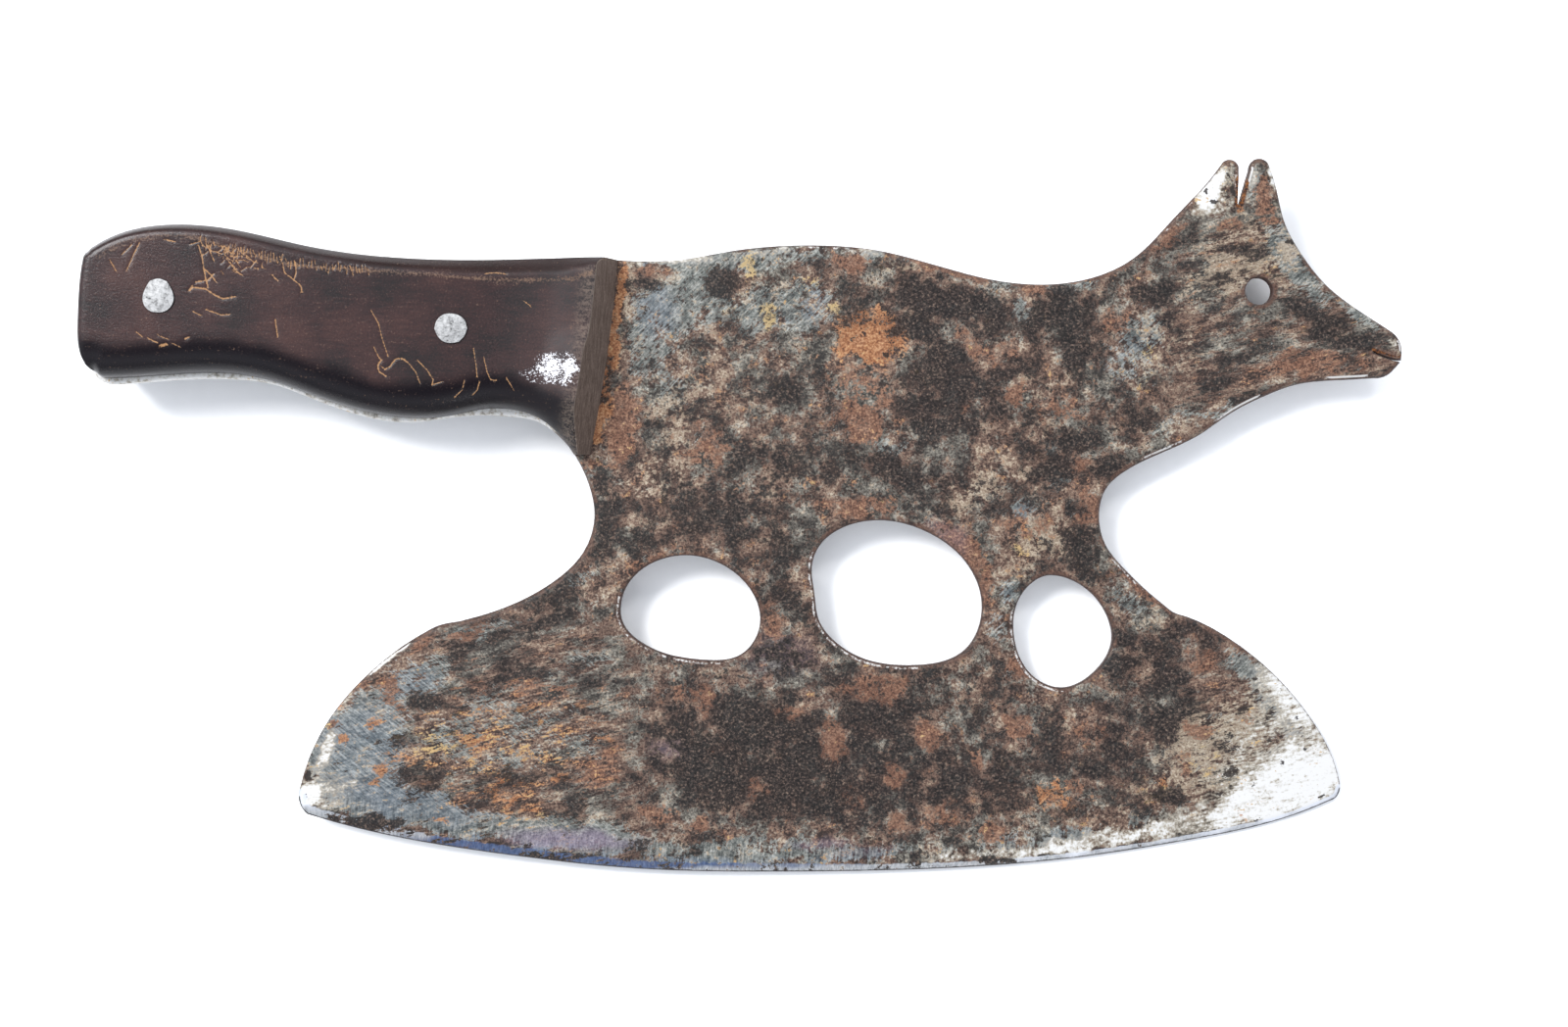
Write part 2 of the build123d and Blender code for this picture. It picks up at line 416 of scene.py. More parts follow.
def bevel_width(points):
    """How far the honed bevel reaches from the cutting edge, which is less towards the toe."""
    width = np.interp(points[:, 0], [-100, 0, 60, 140], [2.3, 2.1, 1.5, 1.2])
    return width * (1 + 0.18 * wander(points, 22, 1))


def half_thickness(away, rounding, from_edge, bevel):
    """Half the plate's thickness, by how far points are from the rim and the cutting edge."""
    rim = rounded(away, rounding, rounding, HALF_PLATE)
    honed = HALF_EDGE + (HALF_SHOULDER - HALF_EDGE) * from_edge / bevel
    rise = (HALF_PLATE - HALF_SHOULDER) * (from_edge - bevel) / (GRIND_WIDTH - bevel)
    return np.minimum(rim, np.where(from_edge < bevel, honed, HALF_SHOULDER + rise))


def make_blade():
    outer, *holes = section("blade", MIDDLE)
    loops = [smooth_loop(loop, BOUNDARY_STEP) for loop in (outer, *holes)]
    loops[0] = narrower_mouth(loops[0] if signed_area(loops[0]) > 0 else loops[0][::-1])
    outline = Outline(loops)
    edge_chain = cutting_edge(outline.loops[0])
    rounding = rim_rounding(outline, edge_chain)
    on_edge = (distance_to_chain(outline.points, edge_chain) < ON_CHAIN) * 1.0
    inner = ring_points(outline, rounding, [on_edge * row for row in BEVEL_ROWS])
    reach = np.maximum(rounding, on_edge * BEVEL_ROWS[-1])
    fill = lattice(outline, PLATE_SPACING, reach, np.random.default_rng(SEED))
    points, faces = triangulated(outline, np.concatenate([inner, fill]))
    x, y = points.T
    near, away = outline.nearest(points)
    from_edge = distance_to_chain(points, edge_chain[::3])
    bevel = bevel_width(points)
    half = half_thickness(away, rounding[near], from_edge, bevel)
    bare = 1 - smooth(-30, -36, x) * smooth(12, 20, y)
    uneven = 0.05 * wander(points, 17, 2) + 0.025 * wander(points, 6, 3)
    half += uneven * bare * smooth(0, 4, away)

    looks = {kind: patch_strength(points, patches, 20 + i)
             for i, (kind, patches) in enumerate(PATCHES.items())}
    # The tang's edge under the belly: bare steel, painted whiter and bluer as a painted reflection of the
    # table.
    tang_steel_and_sheen = smooth(-42, -50, x) * smooth(10, 16, y)
    for kind, strength in (("white", 1.2), ("steel", 1.4), ("blue", 0.9)):
        looks[kind] = np.maximum(looks[kind], strength * tang_steel_and_sheen)
    looks |= {
        "rim": away,
        "streak": streak_strength(points),
        "falling": smooth(-20, -40, x) * smooth(0, -20, y),
        "painted_highlight": painted_highlight_strength(points, outline, near, away),
        "edge": from_edge,
        "bevel": from_edge / bevel,
    }
    piece = plate_object("steel_plate", points, faces, MIDDLE + half, MIDDLE - half, looks)
    declare(piece, "blade", steel_material())
    return piece


# ---------------------------------------------------------------- the steel's patina
# Where the patina differs from its even mottle. Each patch is x, y, half-length, half-width
# and strength, then its turn in degrees if it has one. The order of the kinds matters,
# because it seeds the noise in their edges.
PATCHES = {}
PATCHES["dark"] = [
    (46, 56, 15, 5, 1.0, -5), (43, 48, 9, 3, 0.9, -8), (52, 39, 11, 5, 0.8), (47, 30, 9, 8, 0.7),
    (60, 27, 9, 8, 0.7, -40), (46, 9, 9, 5, 0.8, -20), (45, 21, 6, 4, 0.5), (62, 49, 8, 6, 0.8, -45),
    (84, 54, 7, 5, 0.9), (78, 47, 6, 6, 0.9, 20), (86, 43, 5, 8, 0.8), (70, 37, 7, 3, 0.7),
    (82, 19, 9, 3.5, 0.7), (78, 12, 9, 4, 0.7), (92, 12, 5, 3, 0.8), (87, -7, 5, 7, 0.8),
    (100, 25, 8, 4, 0.5), (105, 57, 8, 3, 0.7), (112, 50, 8, 4, 0.4), (112, 71, 7, 4, 0.7, 40),
    (128, 67, 8, 2, 0.6), (10, 32, 7, 4, 0.8), (2, 17, 9, 6, 0.6), (12, 11, 9, 5, 0.5),
    (-8, 2, 9, 5, 0.7), (6, -4, 12, 6, 0.5), (-17, -4, 10, 4, 0.6), (25, 13, 6, 5, 0.7),
    (37, 12, 5, 5, 0.5), (-24, 60, 5, 4, 0.7), (-6, 59, 6, 5, 1.0), (18, 65, 5, 3, 0.5),
    (-35, 3, 4, 8, 0.5), (-31, -7, 8, 4, 0.4), (12, -20, 6, 10, 0.6), (10, -36, 9, 6, 0.6),
    (-60, -29, 12, 3.5, 0.8, 8), (-72, -34, 5, 4, 0.7), (-64, -41, 13, 4, 0.8, 8),
    (-77, -48, 8, 3.5, 0.8), (-47, -24, 8, 5, 0.5, 20), (-90, -57, 8, 2.5, 0.6), (-82, -66, 7, 4, 0.7),
    (-58, -67, 13, 3, 0.7, 5), (-52, -52, 12, 3, 0.4, 5), (-95, -78.5, 12, 2.6, 1.0, -12),
    (-85, -73, 4, 2, 0.7), (-64, -78, 5, 1.5, 0.9), (-30, -66, 6, 3, 0.5), (-4, -60, 20, 14, 0.5),
    (0, -58, 24, 14, 0.6), (35, -58, 24, 20, 0.6), (12, -72, 24, 8, 0.6), (66, -70, 16, 10, 0.5),
    (98, -36, 11, 6, 0.8, -10), (90, -60, 14, 10, 0.5), (109, -48, 8, 9, 0.7), (124, -60, 5, 4, 1.2),
    (110, -72, 5, 2.5, 0.8), (119, -69, 4, 2, 1.1, 15), (117, -32, 3, 3, 0.7), (112, -29, 4, 2, 0.6),
    (150, 47, 7, 5, 0.7, -30), (158.5, 43.5, 2.6, 2, 1.0), (143, 55, 7, 4, 0.6, -20),
    (-27, -86, 4, 3, 0.9), (46, -87.5, 4, 2.2, 1.2), (62, -87, 5, 2, 1.2), (-14, -85, 4, 4, 0.7, 40),
    (-103.5, -77.5, 4, 1.6, 0.8, -12), (-110, -67, 2, 2.5, 0.8), (100.5, -84, 1.5, 0.8, 1.3),
    (-52, -87.5, 4, 1, 1.0), (124, 87, 1.2, 2, 1.0), (73, 3, 3, 8, 0.2), (-40, -45, 6, 3, 0.4),
]
PATCHES["rust"] = [
    (30, 30, 9, 12, 0.5), (32, 22, 7, 5, 0.6), (30, 2, 11, 2.5, 0.8), (60, 43, 12, 4, 0.4, -10),
    (69, 30, 4, 4, 0.9), (57, 28, 1.8, 1.8, 1.0), (-8, 17, 7, 6, 0.6), (-30, 25, 4, 12, 0.9, -12),
    (-33, 20, 4, 8, 0.7), (-23, 62, 5, 2, 0.7), (27, 65, 6, 2.5, 0.9, -5), (50, 63.5, 12, 1.6, 1.3, -17),
    (80, 26, 6, 5, 0.5), (85, 14, 6, 4, 0.7), (88, 2, 3, 6, 0.9), (73, -2, 7, 5, 0.5),
    (108, 69, 6, 3, 0.7, 40), (148, 38.5, 14, 3.5, 0.55, 2), (138, 38, 8, 4, 0.35, 10),
    (134, 77, 4, 4, 0.8), (132.5, 84, 2.5, 5, 0.8, 10), (124, 74.5, 5, 2, 0.6), (95, 50, 5, 4, 0.4),
    (56, -8, 3, 8, 1.2, 50), (62, -20, 2, 6, 0.8), (103, -18, 9, 2.5, 1.1, -45), (8, -27, 3, 6, 0.6),
    (-22, -12, 9, 2, 0.8, 15), (-70, -30, 9, 2, 0.9, 15), (-82, -33, 4, 2, 1.0, 20),
    (-90, -45, 3, 6, 1.0, 20), (-105, -54, 1.5, 2, 1.2), (-97, -42, 1.5, 1.5, 1.0),
    (-60, -47, 16, 4, 0.2), (-68, -56, 10, 3, 0.2), (-74, -70, 8, 2.5, 0.3), (-52, -43, 10, 3, 0.2),
    (-14, -46, 6, 4, 0.6), (-6, -60, 4, 2, 0.8, 30), (-9, -50, 2, 5, 0.7), (23, -58, 3.5, 7, 1.2),
    (34, -44, 10, 4, 1.1), (39, -66, 3.5, 3.5, 1.1), (12, -50, 4, 3, 1.0), (47, -55, 4, 5, 1.0),
    (4, -70, 4, 3, 0.9), (28, -72, 3, 4, 0.9, 20), (-12, -79, 4, 2, 0.9, 30), (39, -79, 3, 2.5, 0.9),
    (52, -77, 6, 4, 0.8), (64, -82, 5, 2.5, 0.9), (60, -63, 3, 2.5, 0.7), (70, -54, 4, 3.5, 0.9),
    (70, -40, 4, 3, 0.8), (90, -56, 5, 3, 0.7), (82, -70, 7, 3, 0.5), (117, -38, 4, 5, 0.6),
    (128, -53, 4, 4, 0.7), (116, -55, 4, 3, 0.9), (113, -64, 3, 4, 0.8), (121, -65, 3, 2, 0.7),
    (-5, -82, 5, 2, 0.3), (-36, -66, 6, 6, 0.5), (-22, -76, 5, 2.5, 0.7), (-102, -78, 1.5, 1, 1.0),
    (125, -36, 2, 2, 0.6), (155, 57, 4, 1, 0.4, -35), (-60, -55, 32, 18, 0.25), (75, 58, 4, 1.5, 1.0),
    (60, 60, 2, 1.5, 0.7), (86, 60, 4, 1, 0.9), (-40, 13, 3, 2, 0.8),
]
PATCHES["orange"] = [
    (32.5, 46.5, 11, 7.5, 1.15, -12), (28, 42, 8, 4, 0.6), (-101.3, -56.7, 1.6, 1.6, 1.2),
    (-94, -52.5, 2.2, 1.4, 0.9), (-93, -65, 2.5, 2, 0.9, -30), (-94, -68.6, 1.8, 1, 0.9),
    (-103, -49, 1.3, 1.5, 0.8), (-60, -71, 5, 5, 0.5), (-54, -75, 2.5, 1.4, 0.8), (-77, -78.3, 3, 1, 0.8),
    (-46, -67, 2, 1.5, 0.8), (-86, -63, 4, 2.5, 0.5), (128.5, -77.2, 2, 0.9, 0.7, -30),
    (76, 15, 2.5, 1.5, 0.5, -20), (72, -3.5, 2.5, 1.5, 0.5), (127.2, 77.6, 0.7, 1.1, 1.0),
    (-91, -42, 2, 2, 0.4), (-68, -58, 4, 2, 0.4), (78, -71, 4, 2, 0.5), (54, -76, 3, 2, 0.4),
    (-35, -57, 4, 2, 0.4), (-31.3, 57, 9, 1.4, 1.5, 83), (-33.2, 43, 8, 1.7, 1.5, 84),
    (-35.6, 27, 11, 2.4, 1.4, 81), (-62, -60, 30, 17, 0.44), (28, 20, 12, 12, 0.2), (80, -72, 7, 6, 0.6),
    (104, -71, 7, 4.5, 0.55), (-84, -29.5, 5, 0.8, 1.0, 28), (-98, -43, 1.2, 1, 1.0),
    (127, 78.2, 0.7, 1.2, 1.3),
]
PATCHES["cream"] = [
    (57, 4, 7, 3, 1.0, 25), (62, 8, 4, 3, 0.6), (-20, 12, 10, 9, 0.7, 10), (-18, 24, 6, 8, 0.4),
    (76, -6, 7, 5, 0.9, -20), (70, -14, 4, 4, 0.7), (74, -10, 4, 3, 0.6), (74, 34, 7, 3, 0.5),
    (78, 22, 5, 3, 0.6), (75, 27, 4, 4, 0.5), (86, 34, 3, 5, 0.5, 40), (100, 34, 7, 6, 0.4),
    (108, 24, 6, 3, 0.5, 10), (40, 63.5, 9, 1.2, 0.9, -6), (32, 58, 4, 4, 0.3), (125, 62, 9, 4, 0.6),
    (117, 60, 6, 3, 0.5), (-2, 30, 6, 5, 0.4), (15, 14, 4, 4, 0.5), (5, 25, 5, 3, 0.3),
    (-27, 48, 3, 9, 0.4), (-29.3, 57, 7, 0.9, 1.6, 84), (-31.2, 42, 7, 0.8, 1.4, 84),
    (-22, -2, 5, 3, 0.4), (7, -5, 3, 3, 0.5), (-30, -14, 5, 3, 0.6, -30), (-35, -8, 5, 2, 0.5),
    (-24, -17, 3, 3, 0.3), (117, -63, 14, 11, 1.1), (120, -54, 10, 7, 0.9), (133, -52, 9, 9, 0.8),
    (105, -27, 6, 4, 0.6), (127, 68, 14, 6, 0.9), (120, 59, 12, 5, 0.7, 10), (112, 42, 8, 8, 0.5),
    (137, 62, 6, 4, 0.5, -30), (128, 75, 7, 2, 0.8), (98, -72, 9, 6, 0.5), (66, 12, 9, 7, 0.5),
    (80, -2, 6, 6, 0.5), (103, 47, 4, 6, 0.6), (140, 68, 3, 7, 0.9, 20), (-14, 30, 10, 10, 0.5),
    (4, 56, 14, 6, 0.5), (83, -50, 8, 4, 0.3), (63, -50, 5, 4, 0.5), (-35, -50, 9, 6, 0.3),
    (-45, -48, 6, 3, 0.3), (20, 39, 15, 6, 0.3), (-5, 43, 12, 5, 0.3), (-50, -57, 10, 3, 0.3),
    (13, -25, 2, 2, 0.5),
]
PATCHES["steel"] = [
    (-12, 56, 8, 9, 1.0, 30), (-22, 50, 7, 9, 0.9), (-27, 41, 3, 5, 0.5), (4, 65, 24, 3, 1.0, 4),
    (-15, 65, 13, 2, 0.9), (17, 53, 7, 7, 0.8), (5, 52, 9, 7, 0.8), (34, 66.5, 4, 1.5, 0.9),
    (-20, 36, 8, 8, 0.5), (64, 58.5, 5, 1.6, 0.8), (83, 59, 6, 1.6, 0.8), (88, 58, 3, 2, 0.5),
    (103, 47, 5, 5, 0.8), (97, 42, 5, 4, 0.6), (99, 38, 7, 3, 0.6), (71, 52, 2, 4, 0.7),
    (38, 17, 4, 2.5, 0.6), (79, 17, 2.5, 2, 0.7), (72, 0, 3, 4, 0.7), (81, 8.6, 3, 0.8, 0.9, 10),
    (68, -19, 3.5, 5, 0.8), (64, -29, 3, 4, 0.8), (98, -22, 7, 4, 0.6, -30), (94, -36, 2, 4, 0.8, 20),
    (143, 60, 10, 3, 1.1, -48), (139, 69, 4, 7, 1.2, 20), (157, 51.5, 8, 1.8, 0.9, -33),
    (122, 26, 4, 2, 0.7, 25), (108, 22, 5, 2, 0.7, 20), (115, 26, 5, 2, 0.6), (130, 85, 2, 4, 0.8, -10),
    (-100, -62, 14, 13, 1.3, 50), (-88, -74, 18, 5, 1.3, -6), (-82, -41, 9, 6, 0.9, 10),
    (-94, -50, 8, 7, 1.0, 40), (-62, -28, 9, 1.6, 0.8, 8), (-70, -31, 6, 2.4, 0.9),
    (-66, -79.5, 22, 3.4, 1.2, -5), (-42, -82, 20, 4, 1.1, -3), (-40, -37, 8, 3, 0.4),
    (-62, -56, 24, 13, 0.55), (-20, -33, 6, 1.6, 0.8, -28), (20, -86.5, 34, 2.4, 0.9, 2),
    (-10, -86.5, 14, 3, 1.0), (75, -83.5, 20, 2.6, 0.6, 8), (92, -80.5, 14, 2.8, 0.4, 12),
    (124, -60, 18, 12, 0.15, 12), (110, -77, 16, 3.4, 0.3, 14), (136, -47, 11, 5, 0.9, -45),
    (128, -38, 6, 3, 0.8, -40), (140, -60, 8, 8, 0.8), (6, -83.5, 18, 2.4, 0.6, 4), (-40, 9, 2, 3, 0.7),
    (26, -33, 5, 1.2, 0.7, -30), (-42, -16, 6, 2, 0.5, 35), (-30, -85, 12, 2.5, 0.5),
]
# White: polished steel, and painted highlights and reflections along some edges.
PATCHES["white"] = [
    (120.5, 84, 7.5, 2.6, 1.5, 50), (122, 79, 4.5, 3.5, 0.7), (117, 77.5, 4, 2.5, 0.6),
    (135, 86.2, 1.2, 3.8, 1.3, 12), (130.6, 86.2, 0.7, 2.6, 0.9, -12), (136.5, 78, 0.9, 4, 0.5, 8),
    (140, -62, 24, 19, 0.75, 25), (144, -67, 15, 9, 0.75, 22), (138, -44, 13, 5, 0.75, -42),
    (122, -77, 24, 4.4, 0.8, 15), (128, -70, 14, 6, 0.2, 20), (90, -83.0, 20, 2.8, 1.1, 10),
    (60, -86.6, 20, 1.6, 0.7, 4), (-110.5, -72, 3.5, 4, 1.3), (-105, -70, 7, 5, 0.5, 20),
    (-92, -36.5, 10, 2.0, 1.2, 37), (-106, -60, 8, 1.6, 1.1, 62), (-84, -31.5, 3, 1, 0.5, 30),
    (-17, 65.4, 11, 1.0, 0.9), (-28, 64, 3, 1.6, 0.8), (8, 67.6, 10, 1.0, 0.6, 5),
    (30, 67, 7, 1.0, 0.6, -4), (-102, -48, 1.6, 4, 0.8, -40), (139, 68, 1.6, 5, 0.7, 25),
    (57, 5, 3, 1, 0.2, 30), (166, 43.5, 1.6, 1.2, 0.8, -60),
]
PATCHES["gold"] = [
    (2, 63, 2.5, 4, 1.0), (7, 50, 2.5, 5, 0.9), (-4, 52, 3, 1.6, 0.5), (23, 53, 4, 3, 0.8),
    (18, 60, 4, 2, 0.6), (38, 62.5, 6, 1.5, 0.5), (-106, -53, 2, 2, 0.5), (103, 42, 4, 3, 0.5),
    (125, 84.5, 2, 1.5, 0.4), (117, -63, 6, 4, 0.4), (-80, -58, 10, 4, 0.3), (-50, -77, 5, 2, 0.4),
    (72, -8, 5, 3, 0.5), (132, 62, 6, 5, 0.3), (104, 34, 5, 3, 0.3), (105, -71, 6, 3, 0.6),
    (-62, -60, 24, 13, 0.3),
]
PATCHES["blue"] = [
    (-22, 53, 5, 9, 0.7), (18, 54, 3, 5, 0.7), (10, 49, 3, 2, 0.5), (-55, -85.5, 30, 2.2, 1.5, -5),
    (-20, -89, 18, 1.4, 1.4), (20, -88.5, 30, 1.4, 0.7, 2), (-96, -60, 14, 14, 0.7),
    (-80, -74, 22, 6, 0.7), (-84, -42, 8, 5, 0.6), (100, 40, 8, 6, 0.4), (66, -22, 3, 7, 0.5),
    (72, 0, 3, 4, 0.5), (-24, 63.5, 2, 1.5, 0.8), (75, -82, 14, 1.6, 0.4, 8),
]
PATCHES["speck"] = [
    (136.7, -44.4, 0.9, 0.5, 1.3, 10), (131.4, -45.1, 1.2, 0.7, 1.3, 30), (131, -41.6, 0.8, 0.6, 1.2),
    (136.7, -49.1, 0.7, 0.5, 1.2), (137, -51.3, 0.6, 0.5, 1.2), (141.7, -51.3, 0.9, 0.6, 1.3),
    (139.2, -54.8, 0.8, 0.5, 1.3, 40), (142.4, -55.8, 1.2, 0.6, 1.2), (135.2, -57.1, 1.2, 0.8, 1.3, 20),
    (141.4, -58.1, 0.9, 0.5, 1.2), (137.7, -62.9, 1.0, 0.5, 1.2, 20), (143.7, -59.9, 0.6, 0.4, 1.1),
    (134, -52, 1.0, 0.7, 1.1), (127, -50, 2.2, 1.2, 1.1, 20), (125, -66, 2.4, 1.6, 1.1, 20),
    (130, -69, 1.4, 0.7, 1.1, 10), (122, -71, 1.6, 1.0, 1.1), (118, -81.2, 1.8, 0.9, 1.4),
    (121, -80.4, 0.7, 0.4, 1.2), (100.3, -84.2, 0.8, 0.8, 1.4), (97, -84.8, 1.6, 0.4, 1.3, 10),
    (91.5, -85.4, 2, 0.6, 1.4, 5), (77, -87.2, 1.8, 0.7, 1.4), (132, -77.6, 1.2, 0.4, 1.2, 20),
    (148, -72, 1.4, 0.4, 1.1, 30), (120.5, 79.8, 1.6, 0.7, 1.4), (118.3, 82.7, 0.6, 0.6, 1.4),
    (124.2, 86.4, 0.7, 1.2, 1.3), (124.8, 83, 1.0, 1.8, 1.2), (139.9, 69.6, 1.3, 0.7, 1.5, -20),
    (141.6, 70.4, 0.7, 0.5, 1.3), (-110.6, -66.6, 1.0, 1.6, 1.3, 10), (-112, -72, 0.6, 1.4, 1.2),
    (-64, -83.5, 2.0, 1.0, 1.2), (-55, -84.8, 1.6, 0.8, 1.1), (-38, -87.8, 1.4, 0.6, 1.2),
]
PATCHES["sawn"] = [
    (164.6, 41.6, 4.4, 0.9, 1.5, -18), (127.6, 82, 1.7, 7, 1.5, -8),
]
PATCHES["purple"] = [
    (-43, -83.0, 17, 2.6, 1.4, -3), (-18, -60, 6, 3, 0.4), (20, -84, 9, 1.3, 0.6),
    (52, -6, 4, 6, 0.3, 45), (10, -36, 10, 6, 0.2), (30, -86, 10, 1.2, 0.4, 3),
]


PATCH_CORE, PATCH_END = 0.45, 1.35  # a patch fades out between these shares of its size
MOST_DRIFT = 2.4              # how far noise may move a patch's edge
MOST_STRENGTH = 1.5           # that patches of one kind may add up to


def patch_strength(points, patches, seed):
    """How strongly a kind of patch covers each point, with its edges made uneven."""
    drift = np.stack([wander(points, 6, seed), wander(points, 6, seed + 0.5)], 1)
    drift += 0.5 * np.stack([wander(points, 2.2, seed), wander(points, 2.2, seed + 0.5)], 1)
    total = np.zeros(len(points))
    for x, y, reach, width, strength, *turned in patches:
        turn = math.radians(sum(turned))
        spread = min(MOST_DRIFT, 0.55 * min(reach, width) + 0.2)
        dx, dy = (points + drift * spread - (x, y)).T
        along = (dx * math.cos(turn) + dy * math.sin(turn)) / reach
        across = (dy * math.cos(turn) - dx * math.sin(turn)) / width
        total += strength * (1 - smooth(PATCH_CORE, PATCH_END, np.hypot(along, across)))
    return np.minimum(total, MOST_STRENGTH)


# Where a painted highlight lies along the rounded rim, as patches like the patina's.
PAINTED_RIM_HIGHLIGHTS = [
    (154, 35.6, 5.6, 1.6, 1.4, 2), (126.5, 27.2, 7.6, 1.6, 1.0, 27), (107, 17.5, 8, 1.6, 0.7, 28),
    (168.4, 43.4, 1.5, 2.4, 1.1, 10), (168.5, 38.6, 1.6, 0.7, 0.7, -14), (160, 48, 6, 1.2, 0.6, -37),
    (-106.5, -61, 10, 1.8, 1.3, 62), (-93, -37, 12, 1.8, 1.4, 38), (129.5, 86, 1.2, 3.4, 1.2, -14),
    (125.9, 85, 0.8, 3.4, 0.7), (112, 78, 8, 1.4, 0.5, 52), (104, 64, 6, 1.4, 0.5, 36),
    (95, -12, 14, 1.4, 0.6, -42), (125, -30, 12, 1.4, 0.5, -38), (20, 68.5, 20, 1.4, 0.5),
]


# A painted highlight lies on the holes' rims that face this way.
PAINTED_HOLE_HIGHLIGHT = 0.54
PAINTED_HIGHLIGHT_SIDE = np.array([0.80, 0.60])  # the way a hole's rim faces where it shines


def painted_highlight_strength(points, outline, near, away):
    """Where the rim gets a painted highlight: its listed lines, and the left and lower rims of the holes.
    """
    total = patch_strength(points, PAINTED_RIM_HIGHLIGHTS, 40)
    outward = -outline.inward[near]
    facing = smooth(0.1, 0.7, outward @ PAINTED_HIGHLIGHT_SIDE)
    finger_hole = (near >= outline.spans[0][1]) & (points[:, 1] < 0)
    return np.maximum(total, PAINTED_HOLE_HIGHLIGHT * facing * finger_hole * smooth(3, 1.5, away))


def streak_strength(points):
    """1 where grinding left the patina in streaks: the blade's rear and toe, and the head."""
    x, y = points.T
    low = smooth(-18, -38, x) * smooth(-22, -32, y)
    head = smooth(104, 116, x) * smooth(20, 28, y) * smooth(80, 74, y)
    toe = smooth(105, 120, x) * smooth(-28, -45, y)
    return np.clip(low + head + toe, 0, 1)


# ---------------------------------------------------------------- the rivets
# Outlines of the hammered heads: a radius for each twelfth of a turn, from +X towards +Y.
RIVET_HEADS = {
    "butt_rivet": (3.9, 3.75, 4.3, 4.4, 4.35, 3.75, 3.9, 4.2, 4.3, 4.15, 4.2, 4.1),
    "guard_rivet": (4.15, 4.05, 3.85, 3.75, 3.95, 4.05, 4.15, 3.85, 3.8, 3.7, 3.95, 3.9),
}
SHANK_RADIUS = 3.18
HEAD_DEPTH = 1.5
CROWN = 0.16                  # how far a head stands above the wood in its middle
ARRIS = 0.12                  # depth of the slope round a head's edge
HEAD_RINGS = (0.3, 0.6, 0.82, 0.93)
ARRIS_RING = 0.985


def rivet_centre(node):
    low, high = box_mm(node)
    return (low[:2] + high[:2]) / 2


def head_outline(node, spread=0.0):
    """The outline of a rivet's head, made wider by spread."""
    radii = np.array(RIVET_HEADS[node]) + spread
    turns = np.arange(len(radii)) * 2 * math.pi / len(radii)
    corners = np.stack([np.cos(turns), np.sin(turns)], 1) * radii[:, None]
    return smooth_loop(corners, 0.35)


def make_rivet(node):
    centre = rivet_centre(node)
    outline = head_outline(node)
    ways = outline / np.linalg.norm(outline, axis=1)[:, None]
    half = [(outline * share, TOP + CROWN * (1 - share**2)) for share in HEAD_RINGS]
    half.append((outline * ARRIS_RING, TOP))
    half.append((outline, TOP - ARRIS))
    half.append((ways * SHANK_RADIUS, TOP - HEAD_DEPTH))
    half.append((ways * SHANK_RADIUS, MIDDLE + 1))
    rows = half + [(ring, 2 * MIDDLE - z) for ring, z in reversed(half)]
    places = [(*centre, TOP + CROWN)]
    for ring, z in rows:
        places += [(x + centre[0], y + centre[1], z) for x, y in ring]
    places.append((*centre, 2 * MIDDLE - TOP - CROWN))
    places = np.array(places)
    dents = 0.07 * wander(places[:, :2], 1.7, 4) + 0.04 * wander(places[:, :2], 0.7, 5)
    places[:, 2] += dents * (np.abs(places[:, 2] - MIDDLE) > TOP - MIDDLE - 0.2)
    count = len(outline)
    faces = [(0, 1 + k, 1 + (k + 1) % count) for k in range(count)]
    for row in range(len(rows) - 1):
        start = 1 + row * count
        for k in range(count):
            ahead = (k + 1) % count
            faces.append((start + k, start + count + k, start + count + ahead, start + ahead))
    last = 1 + (len(rows) - 1) * count
    faces += [(len(places) - 1, last + (k + 1) % count, last + k) for k in range(count)]
    mesh = bpy.data.meshes.new(node + "_rod")
    mesh.from_pydata((places * MM).tolist(), [], faces)
    mesh.update()
    shade_smooth(mesh, 50)
    piece = placed(node + "_rod", mesh)
    declare(piece, node, aluminium_material())
    return piece


# ---------------------------------------------------------------- the wooden scales
BELLY_ROUND = (8.6, 7.0)      # width and depth of each round
BUTT_ROUND = (2.5, 2.5)
TOP_DEPTH = 3.6
FACET_RUN = 4.3               # how far the front facet leans back
FACET_LIP = 0.15              # its height at the plate
BLEND = 0.35                  # how softly the rounds of a scale's sides meet
HEAD_GAP = 0.07               # between a rivet's head and the wood
SCALE_SPACING = 0.95
SCALE_ROWS = (0.35, 0.9, 1.6, 2.4, 3.3, 4.1, 4.45, 4.8, 5.15, 5.5, 5.85)
SCALE_REACH, HEAD_REACH = 5.9, 0.3
MARK_MARGIN = 0.4             # between a scratch's points and the outline
MARK_GAP = 0.3                # and between them and the other points
SCRATCH_DEPTH = 0.10
THINNEST = 0.1

# Marks on the scales' outer faces are placed as they look from above at the plate's level,
# where the camera makes them look a little larger.
CAMERA = np.array([10.6, 0.4])
CAMERA_HEIGHT = 500.0


def on_face(points):
    """Places on the outer face from places as seen at the plate's level."""
    return CAMERA + (np.array(points, float) - CAMERA) * (1 - SCALE / CAMERA_HEIGHT)


WORN_RIDGE = [
    (-164.5, 66), (-160, 68.5), (-155, 70.2), (-147, 71.5), (-140, 70.8), (-133, 69),
    (-125, 66.5), (-115, 64), (-105, 63), (-85, 61.8), (-62, 60), (-50, 60), (-43, 60.3),
    (-38, 62), (-35, 64),
]
